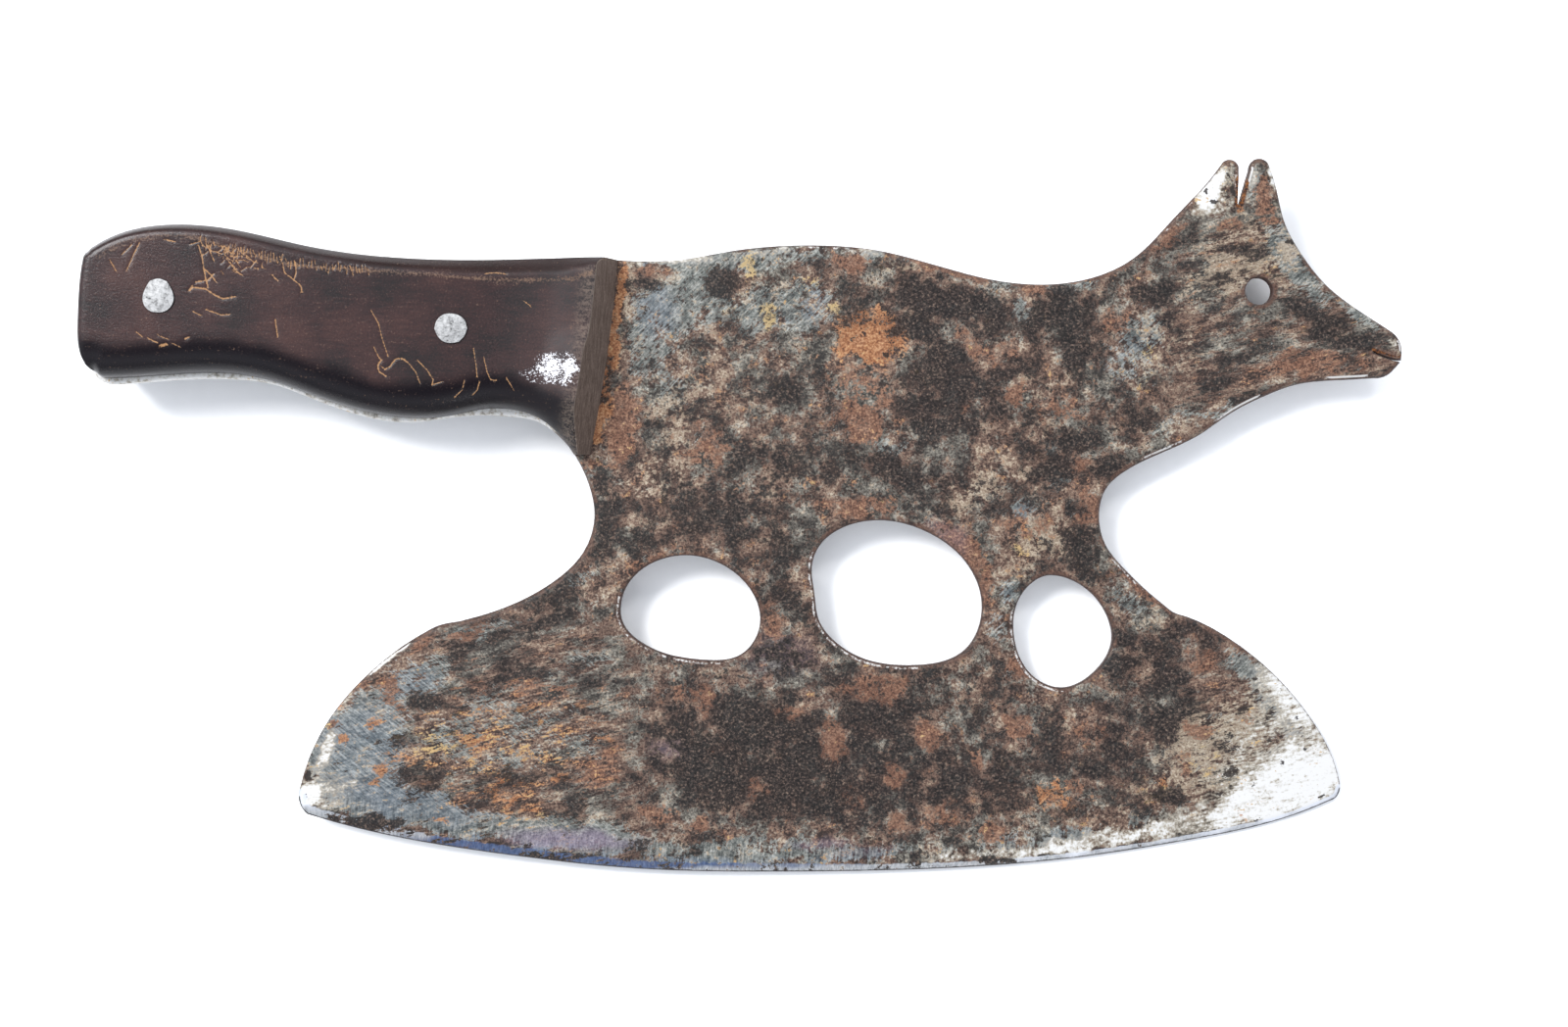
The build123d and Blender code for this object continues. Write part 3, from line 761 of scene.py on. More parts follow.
# Scratches down to bare wood: width, then the points along each.
SCRATCHES = [
    (0.5, (-157, 63), (-155.5, 66.5), (-154, 69.5)),
    (0.4, (-158.5, 66.5), (-156, 69)),
    (0.5, (-161.5, 65), (-160, 62.5)),
    (0.6, (-147.5, 70.4), (-145, 69.8)),
    (0.6, (-139, 69), (-138, 66), (-137.6, 63), (-137, 60), (-136.5, 58)),
    (0.5, (-136.7, 69), (-135, 65)),
    (0.6, (-137.6, 63), (-135.5, 61), (-134.4, 59.5)),
    (0.9, (-141.4, 57.3), (-140.6, 58.3)),
    (0.7, (-140.6, 58.2), (-137, 57.7), (-135, 56.3), (-132.8, 55.2), (-129.5, 55.8)),
    (0.6, (-139.5, 59.5), (-136.5, 60), (-135.2, 61.5)),
    (0.5, (-137, 52.5), (-133.2, 51.1), (-131.2, 51.2)),
    (0.4, (-140, 51.8), (-138.3, 51)),
    (0.5, (-119.3, 49.8), (-119, 47.5), (-118.7, 45.5)),
    (0.5, (-117.5, 64.5), (-117, 62), (-114.5, 60), (-112.8, 58.6), (-112.6, 57.2)),
    (0.5, (-114.2, 64.5), (-114, 62), (-114.6, 60)),
    (0.6, (-120, 61.2), (-118.6, 59.8)),
    (0.5, (-154.8, 46.8), (-153.4, 45.6)),
    (0.6, (-151.5, 45), (-149.8, 44.2)),
    (1.1, (-148.8, 43.2), (-147.2, 43.6)),
    (0.4, (-149, 45.8), (-146.5, 44.8)),
    (0.4, (-145.5, 43.8), (-143.8, 43)),
    (0.7, (-142.4, 45), (-141.6, 45.4)),
    (0.4, (-94.8, 52.2), (-93, 49), (-92, 45), (-90.5, 40.5)),
    (0.5, (-94.2, 43), (-93, 40.5), (-92.2, 39.5)),
    (0.6, (-92.2, 39.5), (-93.2, 38.2), (-92.8, 36.6), (-91, 35.4)),
    (0.6, (-91.3, 37.2), (-90, 38), (-88.6, 39.8), (-87, 40.1), (-86.2, 39.5)),
    (0.4, (-91.3, 37.2), (-92.3, 38)),
    (0.4, (-85.3, 38.8), (-83.4, 36.5), (-82.3, 33.5)),
    (0.5, (-83, 39.5), (-80.5, 37), (-79, 34.6), (-79.3, 33.2), (-77, 34)),
    (0.4, (-68.7, 42.6), (-68, 38), (-67.8, 35.5)),
    (0.4, (-67.2, 34), (-67.8, 32), (-69, 30.8)),
    (0.4, (-66, 40), (-65.2, 36.5), (-64.4, 34.6), (-63, 34.4)),
    (0.4, (-60.3, 35), (-59.3, 33.4), (-58.5, 31.9)),
    (0.4, (-71, 34.5), (-71.6, 32), (-73.5, 30.3)),
    (0.5, (-65.5, 61.7), (-63, 61.9), (-60.2, 61.5)),
    (0.4, (-56, 54.8), (-54.2, 53.4)),
]


# A painted highlight, bright and speckled, in the hollow behind the guard, as patches like the patina's.
PAINTED_HIGHLIGHT_PATCHES = [
    (-45, 35.5, 4.6, 3.2, 0.9, -30), (-48.5, 39, 3.6, 2.6, 0.8), (-51, 35.5, 4.4, 2.2, 0.5),
    (-43.2, 38, 2, 3.2, 0.7),
]


def scale_sides(loop):
    """The sides of a scale's outline: spine, butt, belly, toe and front."""
    x, y = loop.T
    starts = {
        "spine": np.argmax(x + 0.2 * y),
        "butt": np.argmin(x - 0.8 * y),
        "belly": np.argmin(x + y),
        "toe": np.argmin(8 * y + x),
        "front": np.argmin(3 * y - x),
    }
    order = sorted(starts, key=lambda name: starts[name])
    sides = {}
    for name, following in zip(order, order[1:] + order[:1]):
        start, end = int(starts[name]), int(starts[following])
        span = np.arange(start, end + 1 + (len(loop) if end < start else 0)) % len(loop)
        sides[name] = loop[span]
    return sides


def soft_min(values, softness):
    values = np.array(values)
    low = values.min(0)
    return low - softness * np.log(np.exp(-(values - low) / softness).sum(0))


def top_width(x):
    """Width of the round above the worn ridge, which widens towards the front."""
    return np.interp(x, [-165, -145, -100, -70, -45, -35], [2.2, 2.3, 2.9, 4.3, 4.6, 2.0])


def stroke_points(stroke, spacing=0.3):
    """Rows of points along and beside a scratch."""
    width, *corners = stroke
    corners = on_face(corners)
    made = []
    for start, end in zip(corners[:-1], corners[1:]):
        length = np.linalg.norm(end - start)
        side = np.array([start[1] - end[1], end[0] - start[0]]) / length
        for share in np.linspace(0, 1, max(2, round(length / spacing))):
            here = start + (end - start) * share
            made += [here + side * width * k for k in (-1.0, -0.45, 0, 0.45, 1.0)]
    return np.array(made)


def scratch_mask(points, strokes):
    """1 in the middle of a scratch, 0 beside it."""
    mask = np.zeros(len(points))
    for width, *corners in strokes:
        away = distance_to_chain(points, on_face(corners))
        mask = np.maximum(mask, 1 - smooth(0.1 * width, 0.62 * width, away))
    return mask


def ridge_ticks(generator):
    """Short scratches across the worn ridge, and a tangle of them below it."""
    ridge = np.array(WORN_RIDGE)
    made = []
    for x in np.arange(-131, -95, 0.75):
        y = np.interp(x, ridge[:, 0], ridge[:, 1]) + generator.uniform(-0.3, 0.9)
        lean, length = generator.uniform(-0.5, 0.3), generator.uniform(0.8, 2.4)
        made.append((generator.uniform(0.25, 0.4), (x, y + length / 2), (x - lean, y - length / 2)))
    for _ in range(46):
        x = generator.normal(-130.5, 4.2)
        y = np.interp(x, ridge[:, 0], ridge[:, 1]) - abs(generator.normal(0.5, 3.4))
        turn, length = generator.uniform(0, math.pi), generator.uniform(0.8, 3.0)
        way = np.array([math.cos(turn), math.sin(turn)]) * length / 2
        middle = np.array([x, y])
        bend = generator.uniform(-0.4, 0.4, 2)
        made.append((generator.uniform(0.25, 0.45), middle - way, middle + bend, middle + way))
    return made


def make_scales():
    outer = section("front_scale", PLATE_TOP + 0.05)[0]
    heads = [head_outline(node, HEAD_GAP) + rivet_centre(node) for node in RIVET_HEADS]
    outline = Outline([smooth_loop(outer, BOUNDARY_STEP), *heads])
    sides = scale_sides(outline.loops[0])
    generator = np.random.default_rng(SEED + 1)
    strokes = SCRATCHES + ridge_ticks(generator)
    marks = np.concatenate([stroke_points(stroke) for stroke in strokes])
    marks = marks[outline.holds(marks)]
    marks = marks[outline.nearest(marks)[1] > MARK_MARGIN]
    on_side = np.arange(len(outline.points)) < len(outline.loops[0])
    inner = ring_points(outline, on_side * 0.0, [np.where(on_side, row, 0) for row in SCALE_ROWS])
    reach = np.where(on_side, SCALE_REACH, HEAD_REACH)
    inner = np.concatenate([inner, lattice(outline, SCALE_SPACING, reach, generator)])
    inner = thinned(inner, marks, MARK_GAP)
    points, faces = triangulated(outline, np.concatenate([inner, marks]))

    away = {name: distance_to_chain(points, side) for name, side in sides.items()}
    wide = top_width(points[:, 0])
    slope = np.clip(1 - away["spine"] / wide, 0, 1)
    spine = SCALE - TOP_DEPTH * slope**1.35
    belly = rounded(away["belly"], *BELLY_ROUND, SCALE)
    butt = rounded(away["butt"], *BUTT_ROUND, SCALE)
    body = soft_min([spine, belly, butt], BLEND)
    # The wood swells towards its front facet, most on the side of the belly.
    rise = (0.8 + 1.5 * smooth(48, 40, points[:, 1])) * smooth(16, 6, away["front"])
    body += rise * smooth(1, 9, away["belly"]) - 0.08 * (1 + wander(points, 30, 6))
    facet = away["front"] * SCALE / FACET_RUN + FACET_LIP
    height = np.minimum(body, facet)
    scratches = scratch_mask(points, strokes)
    height -= SCRATCH_DEPTH * scratches
    height = np.maximum(height, THINNEST)

    ridge = distance_to_chain(points, on_face(WORN_RIDGE))
    looks = {
        "scratch": scratches,
        "ridge": 1 - smooth(0.1, 1.1, ridge),
        "facet": body - facet,
        "bank": smooth(SCALE - 0.15, SCALE - 0.6, spine),
        "painted_sparkle": patch_strength(points, PAINTED_HIGHLIGHT_PATCHES, 50),
        "from_front": away["front"],
        "from_belly": away["belly"],
    }
    wood = wood_material()
    made = []
    for side, name in ((1, "front_scale"), (-1, "back_scale")):
        outer_face = MIDDLE + side * (HALF_PLATE + height)
        inner_face = np.full(len(points), MIDDLE + side * HALF_PLATE)
        upper, lower = (outer_face, inner_face) if side > 0 else (inner_face, outer_face)
        piece = plate_object(name + "_wood", points, faces, upper, lower, looks, 35)
        declare(piece, name, wood)
        made.append(piece)
    return made


# ---------------------------------------------------------------- materials
DEPTH = 0.51                  # albedo of what looks white where the floor is brighter than white


def grey(value):
    return (value, value, value)


# Ramps of colours, each stop a position, red, green and blue, as they look beside the floor.
COLOURS = {
    "warm": [(0.26, 0.038, 0.026, 0.022), (0.42, 0.125, 0.075, 0.057),
             (0.54, 0.215, 0.135, 0.100), (0.66, 0.32, 0.220, 0.160), (0.82, 0.54, 0.43, 0.32)],
    "cool": [(0.26, 0.036, 0.032, 0.029), (0.42, 0.110, 0.097, 0.081),
             (0.54, 0.190, 0.175, 0.148), (0.66, 0.31, 0.285, 0.24), (0.82, 0.54, 0.50, 0.42)],
    "bare": [(0.25, 0.070, 0.078, 0.076), (0.45, 0.20, 0.215, 0.20), (0.6, 0.36, 0.37, 0.34),
             (0.8, 0.66, 0.66, 0.61)],
    "blue": [(0.3, 0.10, 0.135, 0.175), (0.7, 0.34, 0.41, 0.49)],
    "cream": [(0.3, 0.25, 0.18, 0.130), (0.5, 0.45, 0.35, 0.25), (0.66, 0.72, 0.61, 0.47)],
    "white": [(0.1, 0.42, 0.355, 0.275), (0.4, 0.60, 0.55, 0.465), (0.7, 0.83, 0.805, 0.755),
              (1.0, 1.0, 0.99, 0.97)],
    "rust": [(0.3, 0.085, 0.042, 0.031), (0.5, 0.225, 0.106, 0.066), (0.7, 0.45, 0.240, 0.150)],
    "orange": [(0.3, 0.22, 0.082, 0.038), (0.5, 0.46, 0.190, 0.080), (0.7, 0.72, 0.40, 0.20)],
    "purple": [(0.3, 0.17, 0.13, 0.19), (0.7, 0.46, 0.38, 0.49)],
    "dark": [(0.30, 0.007, 0.006, 0.006), (0.50, 0.024, 0.019, 0.018),
             (0.62, 0.080, 0.057, 0.048), (0.78, 0.26, 0.18, 0.135)],
    "rim": [(0.3, 0.07, 0.034, 0.025), (0.7, 0.22, 0.12, 0.085)],
    "sawn": [(0.38, 0.020, 0.010, 0.008), (0.50, 0.16, 0.052, 0.014), (0.7, 0.34, 0.13, 0.035)],
    "honed": [(0.3, 0.30, 0.33, 0.36), (0.7, 0.75, 0.76, 0.77)],
    "honed_blue": [(0.3, 0.045, 0.075, 0.17), (0.7, 0.15, 0.22, 0.40)],
    "varnish": [(0.32, 0.032, 0.027, 0.028), (0.5, 0.057, 0.034, 0.034),
                (0.70, 0.090, 0.048, 0.044)],
    "bare_wood": [(0.3, 0.105, 0.072, 0.056), (0.5, 0.170, 0.122, 0.098),
                  (0.75, 0.27, 0.20, 0.165)],
    "aluminium": [(0.26, *grey(0.05)), (0.36, *grey(0.32)), (0.5, *grey(0.50)), (0.7, *grey(0.72))],
    "paper": [(0.3, *grey(0.90 / DEPTH)), (0.7, *grey(0.92 / DEPTH))],
}


class Shader:
    """A material's nodes, with short calls for the ones used here."""

    def __init__(self, name):
        self.material = bpy.data.materials.new(name)
        self.material.use_nodes = True
        self.tree = self.material.node_tree
        self.surface = self.tree.nodes["Principled BSDF"]
        place = self.tree.nodes.new("ShaderNodeTexCoord")
        self.place = self.vector("MULTIPLY", place.outputs["Object"], (1000, 1000, 1000))

    def put(self, socket, value):
        if isinstance(value, bpy.types.NodeSocket):
            self.tree.links.new(value, socket)
        elif isinstance(value, (tuple, list)) and len(value) == 3 and socket.type == "RGBA":
            socket.default_value = (*value, 1)
        else:
            socket.default_value = value

    def vector(self, operation, a, b):
        node = self.tree.nodes.new("ShaderNodeVectorMath")
        node.operation = operation
        self.put(node.inputs[0], a)
        self.put(node.inputs[1], b)
        return node.outputs[0]

    def math(self, operation, *values):
        node = self.tree.nodes.new("ShaderNodeMath")
        node.operation = operation
        for socket, value in zip(node.inputs, values):
            self.put(socket, value)
        return node.outputs[0]

    def total(self, *terms, base=0.0):
        """The sum of (value, weight) pairs and a base."""
        made = base
        for value, weight in terms:
            made = self.math("MULTIPLY_ADD", value, weight, made)
        return made

    def around(self, *terms):
        """A weighted sum of noises, kept centred on a half."""
        return self.total(*terms, base=0.5 - 0.5 * sum(weight for _, weight in terms))

    def times(self, value, *others):
        """The product of all the values."""
        for other in others:
            value = self.math("MULTIPLY", value, other)
        return value

    def rest(self, value):
        """What a value leaves of 1."""
        return self.math("SUBTRACT", 1.0, value)

    def between(self, a, b, share):
        """a where the share is 0, b where it is 1."""
        return self.total((self.math("SUBTRACT", b, a), share), base=a)

    def noise(self, size, detail=3.0, roughness=0.55, stretch=(1, 1, 1), turn=0.0, shift=0.0):
        """Noise from 0 to 1 with features of about that many millimetres."""
        at = self.place
        if turn:
            node = self.tree.nodes.new("ShaderNodeVectorRotate")
            node.rotation_type = "Z_AXIS"
            self.put(node.inputs["Vector"], at)
            self.put(node.inputs["Angle"], turn)
            at = node.outputs[0]
        at = self.vector("MULTIPLY", at, tuple(s / size for s in stretch))
        at = self.vector("ADD", at, (shift, shift * 0.7, shift * 1.3))
        node = self.tree.nodes.new("ShaderNodeTexNoise")
        self.put(node.inputs["Vector"], at)
        node.inputs["Scale"].default_value = 1.0
        node.inputs["Detail"].default_value = detail
        node.inputs["Roughness"].default_value = roughness
        return node.outputs[0]

    def attribute(self, name):
        node = self.tree.nodes.new("ShaderNodeAttribute")
        node.attribute_name = name
        return node.outputs["Fac"]

    def step(self, value, low, high):
        """0 below low and 1 above high."""
        node = self.tree.nodes.new("ShaderNodeMapRange")
        node.interpolation_type = "SMOOTHSTEP"
        for socket, given in zip(node.inputs, (value, low, high, 0.0, 1.0)):
            self.put(socket, given)
        return node.outputs[0]

    def mix(self, share, a, b, blend="MIX"):
        node = self.tree.nodes.new("ShaderNodeMix")
        node.data_type = "RGBA"
        node.blend_type = blend
        self.put(node.inputs[0], share)
        self.put(node.inputs[6], a)
        self.put(node.inputs[7], b)
        return node.outputs[2]

    def over(self, below, above, cover, most=1.0):
        """A colour laid over another, at most so strongly, where cover says."""
        share = cover if most == 1.0 else self.times(cover, most)
        return self.mix(share, below, above)

    def ramp(self, value, *stops):
        """Colours in between stops of a position and red, green and blue."""
        node = self.tree.nodes.new("ShaderNodeValToRGB")
        self.put(node.inputs[0], value)
        elements = node.color_ramp.elements
        while len(elements) < len(stops):
            elements.new(0.5)
        for element, (position, *colour) in zip(elements, stops):
            element.position = position
            element.color = (*colour, 1)
        return node.outputs[0]

    def tone(self, name, value):
        """A named ramp of colours."""
        return self.ramp(value, *COLOURS[name])

    def bump(self, height, distance):
        node = self.tree.nodes.new("ShaderNodeBump")
        node.inputs["Strength"].default_value = 1.0
        node.inputs["Distance"].default_value = distance * MM
        self.put(node.inputs["Height"], height)
        self.put(self.surface.inputs["Normal"], node.outputs[0])

    def finish(self, colour, **values):
        """Sets the surface, whose colour is given as it looks beside the brighter floor."""
        self.put(self.surface.inputs["Base Color"], self.mix(1.0, colour, grey(DEPTH), "MULTIPLY"))
        for name, value in values.items():
            self.put(self.surface.inputs[name.replace("_", " ")], value)
        return self.material


def steel_material():
    s = Shader("patinated_steel")
    streak, edge, rim = s.attribute("streak"), s.attribute("edge"), s.attribute("rim")

    def mottle(size, detail, roughness, shift, drawn=1.55):
        """Even noise, or drawn out along X where the patina is streaked."""
        even = s.noise(size, detail, roughness, shift=shift)
        along = s.noise(size, detail, roughness, (1 / drawn, drawn, 1), -0.22, shift)
        return s.between(even, along, streak)

    def cover(kind, weight, threshold, softness, *noises, **less):
        """Where a kind of patch covers the steel: its patches broken up by noise."""
        value = s.total((s.attribute(kind), weight), base=s.around(*noises))
        for other, amount in less.items():
            value = s.total((s.attribute(other), -amount), base=value)
        return s.step(value, threshold - softness, threshold + softness)

    pepper = s.noise(0.62, 2, 0.7, shift=1)
    specks = s.noise(0.8, 1, 0.6, shift=21)
    grit = mottle(1.5, 3, 0.65, 3, 1.9)
    blotch = mottle(6.0, 5, 0.62, 5)
    spots = mottle(3.8, 4, 0.62, 9)
    tans = mottle(4.2, 4, 0.62, 13)
    cloud = mottle(9.0, 4, 0.6, 7)

    # Fine lines of grinding, which stand upright beside the cutting edge.
    rising = s.noise(0.45, 3, 0.6, (1, 0.13, 1), 0.8, 4)
    falling = s.noise(0.45, 3, 0.6, (1, 0.13, 1), -0.9, 14)
    upright = s.noise(0.5, 3, 0.6, (1, 0.12, 1), 0.1, 24)
    brushed = s.between(rising, falling, s.attribute("falling"))
    brushed = s.between(brushed, upright, s.step(edge, 11, 5))

    # The even mottle, warm in some places and cool in others.
    tone = s.around((grit, 0.9), (pepper, 1.15), (tans, 1.3))
    hue = s.step(s.around((cloud, 1.2), (grit, 0.6), (pepper, 0.3)), 0.48, 0.57)
    colour = s.mix(hue, s.tone("warm", tone), s.tone("cool", tone))

    # Ground steel, cream haze, and the polished toe, ears and heel, whose white is partly a painted
    # highlight.
    steel = cover("steel", 0.29, 0.66, 0.05, (blotch, 1.0), (grit, 0.8), (brushed, 0.5))
    bare = s.tone("bare", s.around((brushed, 1.0), (pepper, 0.7), (grit, 0.9), (tans, 0.6)))
    bare = s.over(bare, (0.74, 0.74, 0.72), s.attribute("white"), 0.5)
    blue = s.tone("blue", s.around((brushed, 1.0), (grit, 0.5)))
    bare = s.over(bare, blue, s.attribute("blue"), 0.6)
    colour = s.over(colour, bare, steel, 0.9)
    cream = cover("cream", 0.20, 0.67, 0.06, (tans, 0.9), (grit, 0.7), (specks, 0.6))
    colour = s.over(colour, s.tone("cream", s.around((pepper, 1.0), (grit, 0.7))), cream, 0.8)
    uneven = s.around((blotch, 0.8), (grit, 1.0), (specks, 0.6))
    polish_and_highlight = s.total((s.attribute("white"), 0.45), base=uneven)
    white = s.step(polish_and_highlight, 0.60, 0.98)
    polish_and_highlight = s.total((s.step(polish_and_highlight, 0.72, 1.26), 1.0), (brushed, 0.5), base=-0.15)
    colour = s.over(colour, s.tone("white", polish_and_highlight), white)

    # Rust in its colours, heat tint and the dark scale that is left of the forging skin.
    rust = cover("rust", 0.29, 0.640, 0.040, (spots, 0.9), (grit, 0.9), (pepper, 0.45),
                 white=0.3, steel=0.08)
    colour = s.over(colour, s.tone("rust", s.around((grit, 0.8), (pepper, 1.0))), rust, 0.88)
    orange = cover("orange", 0.36, 0.75, 0.06, (spots, 0.9), (grit, 0.9), (pepper, 0.5))
    colour = s.over(colour, s.tone("orange", s.around((pepper, 1.0), (grit, 0.8))), orange, 0.85)
    gold = cover("gold", 0.36, 0.76, 0.07, (spots, 0.9), (grit, 1.0), (pepper, 0.6))
    colour = s.over(colour, (0.70, 0.50, 0.23), gold, 0.8)
    purple = s.tone("purple", s.around((pepper, 0.8), (brushed, 0.6)))
    colour = s.over(colour, purple, s.attribute("purple"), 0.5)
    dark = cover("dark", 0.20, 0.575, 0.032, (blotch, 1.0), (grit, 0.65), (pepper, 0.4),
                 white=0.35, steel=0.06, rust=0.12)
    colour = s.over(colour, s.tone("dark", s.around((pepper, 1.0), (specks, 0.6))), dark, 0.95)

    # The rim: brown in places, outlined, and with painted highlight lines.
    brown = s.times(s.step(rim, 1.5, 0.8), s.step(spots, 0.44, 0.52),
                    s.step(s.attribute("white"), 0.5, 0.2),
                    s.step(s.attribute("steel"), 1.0, 0.5), s.step(edge, 3.0, 5.0))
    colour = s.over(colour, s.tone("rim", pepper), brown, 0.8)
    outline = s.times(s.step(s.total((grit, 0.8), base=rim), 0.80, 0.58),
                      s.step(edge, 0.8, 1.6), s.step(s.attribute("steel"), 1.38, 1.1))
    colour = s.over(colour, (0.085, 0.050, 0.042), outline, 0.85)
    # Painted highlight: thin near-white lines along the rounded rim.
    uneven = s.around((spots, 1.0), (grit, 1.0), (pepper, 0.9))
    painted_highlight = s.step(s.total((s.attribute("painted_highlight"), 1.0), base=uneven), 0.96, 1.26)
    strip = s.times(s.step(rim, 0.36, 0.60), s.step(rim, 1.10, 0.80))
    colour = s.over(colour, (0.90, 0.88, 0.85), s.times(painted_highlight, strip))
    sawn = s.step(s.total((s.attribute("sawn"), 0.5), base=s.around((grit, 0.5))), 0.72, 0.86)
    sawn = s.times(sawn, s.step(rim, 0.95, 0.70))
    colour = s.over(colour, s.tone("sawn", s.around((grit, 1.2), (pepper, 1.0))), sawn)
    speck = s.total((s.attribute("speck"), 0.5), base=s.around((grit, 1.1), (pepper, 0.8)))
    colour = s.over(colour, (0.030, 0.022, 0.020), s.step(speck, 0.82, 0.90), 0.93)

    # The honed bevel and the dark line of the cutting edge itself.
    bevel = s.step(s.total((grit, 0.8), base=s.attribute("bevel")), 1.5, 1.3)
    bevel = s.times(bevel, s.rest(dark))
    honed = s.over(s.tone("honed", brushed), (0.95, 0.99, 1.08), s.attribute("white"), 0.9)
    honed = s.over(honed, s.tone("honed_blue", brushed), s.attribute("blue"))
    colour = s.over(colour, honed, bevel, 0.85)
    line = s.step(s.total((grit, 0.6), base=edge), 0.70, 0.45)
    colour = s.over(colour, (0.06, 0.055, 0.055), line)

    shine = s.math("MAXIMUM", s.times(steel, 0.6), white)
    shine = s.math("MAXIMUM", shine, s.times(bevel, 0.7))
    shine = s.times(shine, s.rest(dark))
    height = s.around((grit, 0.8), (pepper, 0.8), (brushed, 0.3))
    height = s.math("SUBTRACT", height, s.times(shine, s.total((height, 0.6))))
    s.bump(height, 0.08)
    roughness = s.total((shine, -0.20), (dark, -0.06), (pepper, 0.2), base=0.45)
    bright = s.times(s.math("SUBTRACT", shine, white), 0.25)
    return s.finish(colour, Metallic=bright, Roughness=roughness, Specular_IOR_Level=0.2)


def wood_material():
    s = Shader("varnished_wood")
    bank, past = s.attribute("bank"), s.attribute("facet")
    grain = s.noise(1.1, 4, 0.6, (0.2, 1, 1), 0.05)
    cloud = s.noise(12, 2, 0.5, shift=5)
    pepper = s.noise(0.55, 3, 0.7, shift=1)
    colour = s.tone("varnish", s.around((grain, 0.35), (cloud, 0.7), (pepper, 0.55)))
    # Painted shade: the round above the worn ridge is painted darker.
    colour = s.over(colour, (0.022, 0.008, 0.006), bank, 0.8)
    # Painted shade: the belly's round is painted near black.
    belly = s.step(s.total((cloud, 4.0), base=s.attribute("from_belly")), 12.5, 8.0)
    colour = s.over(colour, (0.004, 0.002, 0.005), belly, 0.95)

    # Haze near the front, the worn ridge, scratches, and a painted speckled highlight behind the guard.
    haze = s.times(s.step(s.attribute("from_front"), 10, 5.5), s.step(bank, 0.6, 0.0),
                   s.step(s.around((pepper, 0.9), (grain, 0.5)), 0.36, 0.66))
    colour = s.over(colour, (0.32, 0.25, 0.20), haze, 0.45)
    worn = s.total((s.attribute("ridge"), 0.30), base=s.around((pepper, 1.3), (grain, 0.6)))
    worn = s.step(worn, 0.66, 0.95)
    colour = s.over(colour, (0.30, 0.185, 0.12), worn, 0.6)
    scratch = s.total((s.attribute("scratch"), 0.62), base=s.around((pepper, 1.5)))
    scratch = s.step(scratch, 0.78, 1.0)
    colour = s.over(colour, (0.52, 0.28, 0.125), scratch, 0.9)
    highlight_flecks = s.around((pepper, 1.9), (s.noise(2.2, 4, 0.75), 1.1))
    painted_sparkle = s.total((s.attribute("painted_sparkle"), 0.30), base=highlight_flecks)
    painted_sparkle = s.times(s.step(painted_sparkle, 0.66, 0.94), s.step(s.attribute("painted_sparkle"), 0.1, 0.4))
    colour = s.over(colour, (1.2, 1.2, 1.25), painted_sparkle)

    # The bare bevel at the front, and a painted highlight on its arris.
    lines = s.noise(0.7, 4, 0.65, (1.4, 0.10, 1), shift=2)
    facet = s.step(past, 0.0, 0.1)
    bare = s.tone("bare_wood", s.around((lines, 0.9), (pepper, 0.5)))
    colour = s.over(colour, bare, facet)
    arris_highlight = s.times(s.step(past, -0.25, 0.0), s.step(past, 0.45, 0.1))
    colour = s.over(colour, (0.40, 0.33, 0.28), arris_highlight, 0.4)

    hollow = s.step(s.attribute("from_front"), 34, 6)
    rough = s.total((facet, 0.25), (scratch, 0.2), (worn, 0.2), (hollow, 0.3), (pepper, 0.16),
                    base=0.16)
    s.bump(s.around((grain, 0.4), (pepper, 0.9)), 0.07)
    return s.finish(colour, Roughness=rough, IOR=1.32, Specular_IOR_Level=0.4)


def aluminium_material():
    s = Shader("dull_aluminium")
    tone = s.around((s.noise(1.1, 4, 0.7), 1.3), (s.noise(0.4, 2, 0.6, shift=3), 0.4))
    s.bump(s.noise(0.5, 3, 0.7), 0.06)
    return s.finish(s.tone("aluminium", tone), Metallic=0.3, Roughness=0.5)


# ---------------------------------------------------------------- table, light and camera
STEEL_DENSITY, WOOD_DENSITY = 7.85, 0.9


def centre_of_mass():
    """Where the CAD nodes balance, with the two small rivets taken as wood."""
    weighted, mass = np.zeros(3), 0.0
    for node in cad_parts:
        corners = node_triangles(node)
        volumes = np.einsum("ij,ij->i", corners[:, 0], np.cross(corners[:, 1], corners[:, 2])) / 6
        density = STEEL_DENSITY if node == "blade" else WOOD_DENSITY
        weighted += density * (volumes[:, None] * corners.sum(1) / 4).sum(0)
        mass += density * volumes.sum()
    return weighted / mass


TURNED_UP = -0.7              # a face of the hull whose normal's Z is above this isn't under it


def table_plane(pieces):
    """A point and the upward normal of the table that the visible pieces come to rest on."""
    hull = bmesh.new()
    for piece in pieces:
        for vertex in piece.data.vertices:
            hull.verts.new(vertex.co)
    bmesh.ops.convex_hull(hull, input=hull.verts)
    centre = Vector(centre_of_mass()) * MM
    best = None
    for face in hull.faces:
        if face.normal.z > TURNED_UP:
            continue
        foot = centre - face.normal * (centre - face.verts[0].co).dot(face.normal)
        ends = [v.co for v in face.verts]
        turns = [(b - a).cross(foot - a).dot(face.normal) for a, b in zip(ends, ends[1:] + ends[:1])]
        worst = min(turns)
        if best is None or worst > best[0]:
            best = (worst, ends[0].copy(), -face.normal.copy())
    hull.free()
    return best[1], best[2]


TABLE_REACH = 2.5
TABLE_GAP = 0.0002            # between the table and what lies on it, in metres


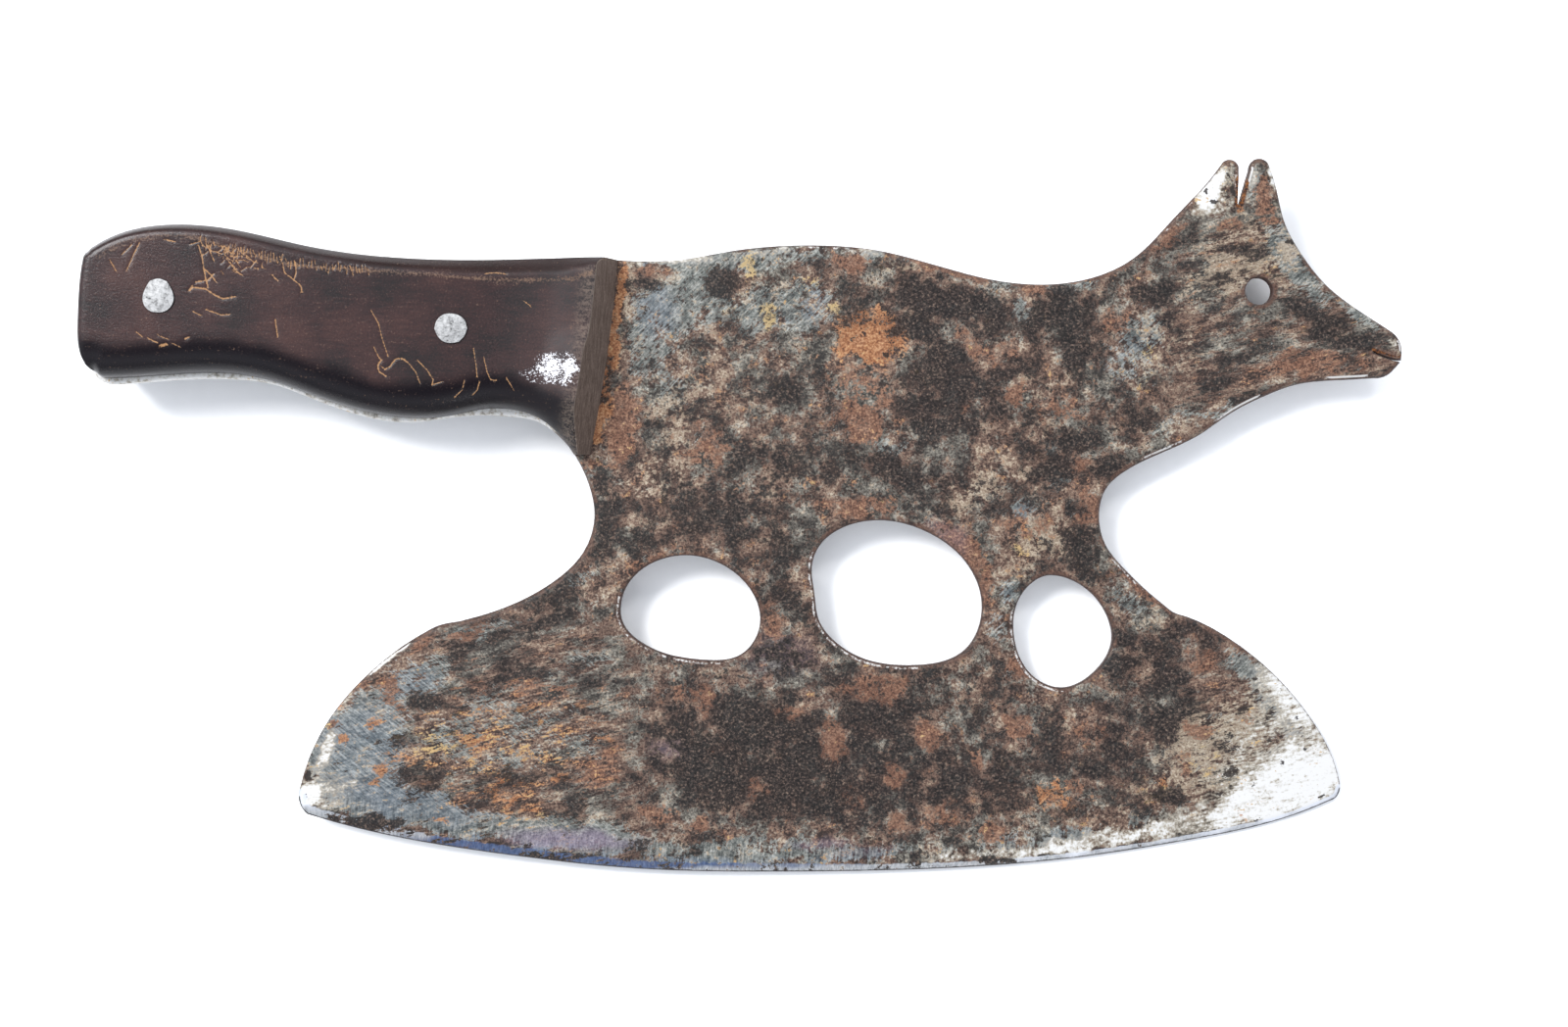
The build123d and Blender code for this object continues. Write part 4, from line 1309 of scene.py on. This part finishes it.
def make_table(pieces):
    point, up = table_plane(pieces)
    mesh = bpy.data.meshes.new("table_top")
    corners = [(x * TABLE_REACH, y * TABLE_REACH, 0) for x, y in ((-1, -1), (1, -1), (1, 1), (-1, 1))]
    mesh.from_pydata(corners, [], [(0, 1, 2, 3)])
    table = placed("table_top", mesh)
    turn = Vector((0, 0, 1)).rotation_difference(up).to_matrix().to_4x4()
    table.matrix_world = Matrix.Translation(point - up * TABLE_GAP) @ turn
    s = Shader("white_table")
    paper = s.tone("paper", s.noise(3, 3, 0.5))
    mesh.materials.append(s.finish(paper, Roughness=0.9))


# Each lamp's name, size in metres, watts, and the angles in degrees that it shines from.
LAMPS = [
    ("key", 0.50, 26, 142, 45),
    ("right_fill", 0.30, 6, 60, 38),
    ("lower_glint", 0.12, 3, 285, 30),
]
LAMP_DISTANCE = 1.5
# The sky's brightness from straight below to straight above, and its tint.
SKY_BELOW, SKY_ABOVE = (0.20, 0.21, 0.23, 1), (0.15, 0.16, 0.18, 1)
SKY_LEVELS = ((0.25, 0.55), (0.55, 1.0), (0.8, 0.75))
SKY_TINT = (0.94, 0.99, 1.08)
SKY_STRENGTH = 1.65


def sky_place(azimuth, elevation, distance):
    """The place so far from the origin, at angles in degrees from +X and from the level."""
    azimuth, elevation = math.radians(azimuth), math.radians(elevation)
    level = math.cos(elevation)
    way = (math.cos(azimuth) * level, math.sin(azimuth) * level, math.sin(elevation))
    return Vector(way) * distance


def make_light():
    for name, size, power, azimuth, elevation in LAMPS:
        data = bpy.data.lights.new(name, "AREA")
        data.shape = "SQUARE"
        data.size = size
        data.energy = power
        lamp = placed(name, data)
        lamp.location = sky_place(azimuth, elevation, LAMP_DISTANCE)
        lamp.rotation_euler = (-lamp.location).to_track_quat("-Z", "Y").to_euler()
    world = bpy.data.worlds.new("studio")
    bpy.context.scene.world = world
    world.use_nodes = True
    tree = world.node_tree
    place = tree.nodes.new("ShaderNodeTexCoord")
    split = tree.nodes.new("ShaderNodeSeparateXYZ")
    ramp = tree.nodes.new("ShaderNodeValToRGB")
    tree.links.new(place.outputs["Generated"], split.inputs[0])
    tree.links.new(split.outputs["Z"], ramp.inputs[0])
    stops = ramp.color_ramp.elements
    stops[0].position, stops[0].color = 0.0, SKY_BELOW
    stops[1].position, stops[1].color = 1.0, SKY_ABOVE
    for position, level in SKY_LEVELS:
        stops.new(position).color = (*(level * part for part in SKY_TINT), 1)
    background = tree.nodes["Background"]
    tree.links.new(ramp.outputs[0], background.inputs["Color"])
    background.inputs["Strength"].default_value = SKY_STRENGTH


LENS, SENSOR = 45, 36


def make_camera():
    data = bpy.data.cameras.new("overhead")
    data.sensor_width = SENSOR
    data.lens = LENS
    camera = placed("overhead", data)
    camera.location = (CAMERA[0] * MM, CAMERA[1] * MM, (PLATE_TOP + CAMERA_HEIGHT) * MM)
    bpy.context.scene.camera = camera


pieces = [make_blade(), *make_scales(), *(make_rivet(node) for node in RIVET_HEADS)]
make_table(pieces)
make_light()
make_camera()
bpy.context.scene.view_settings.view_transform = "Standard"
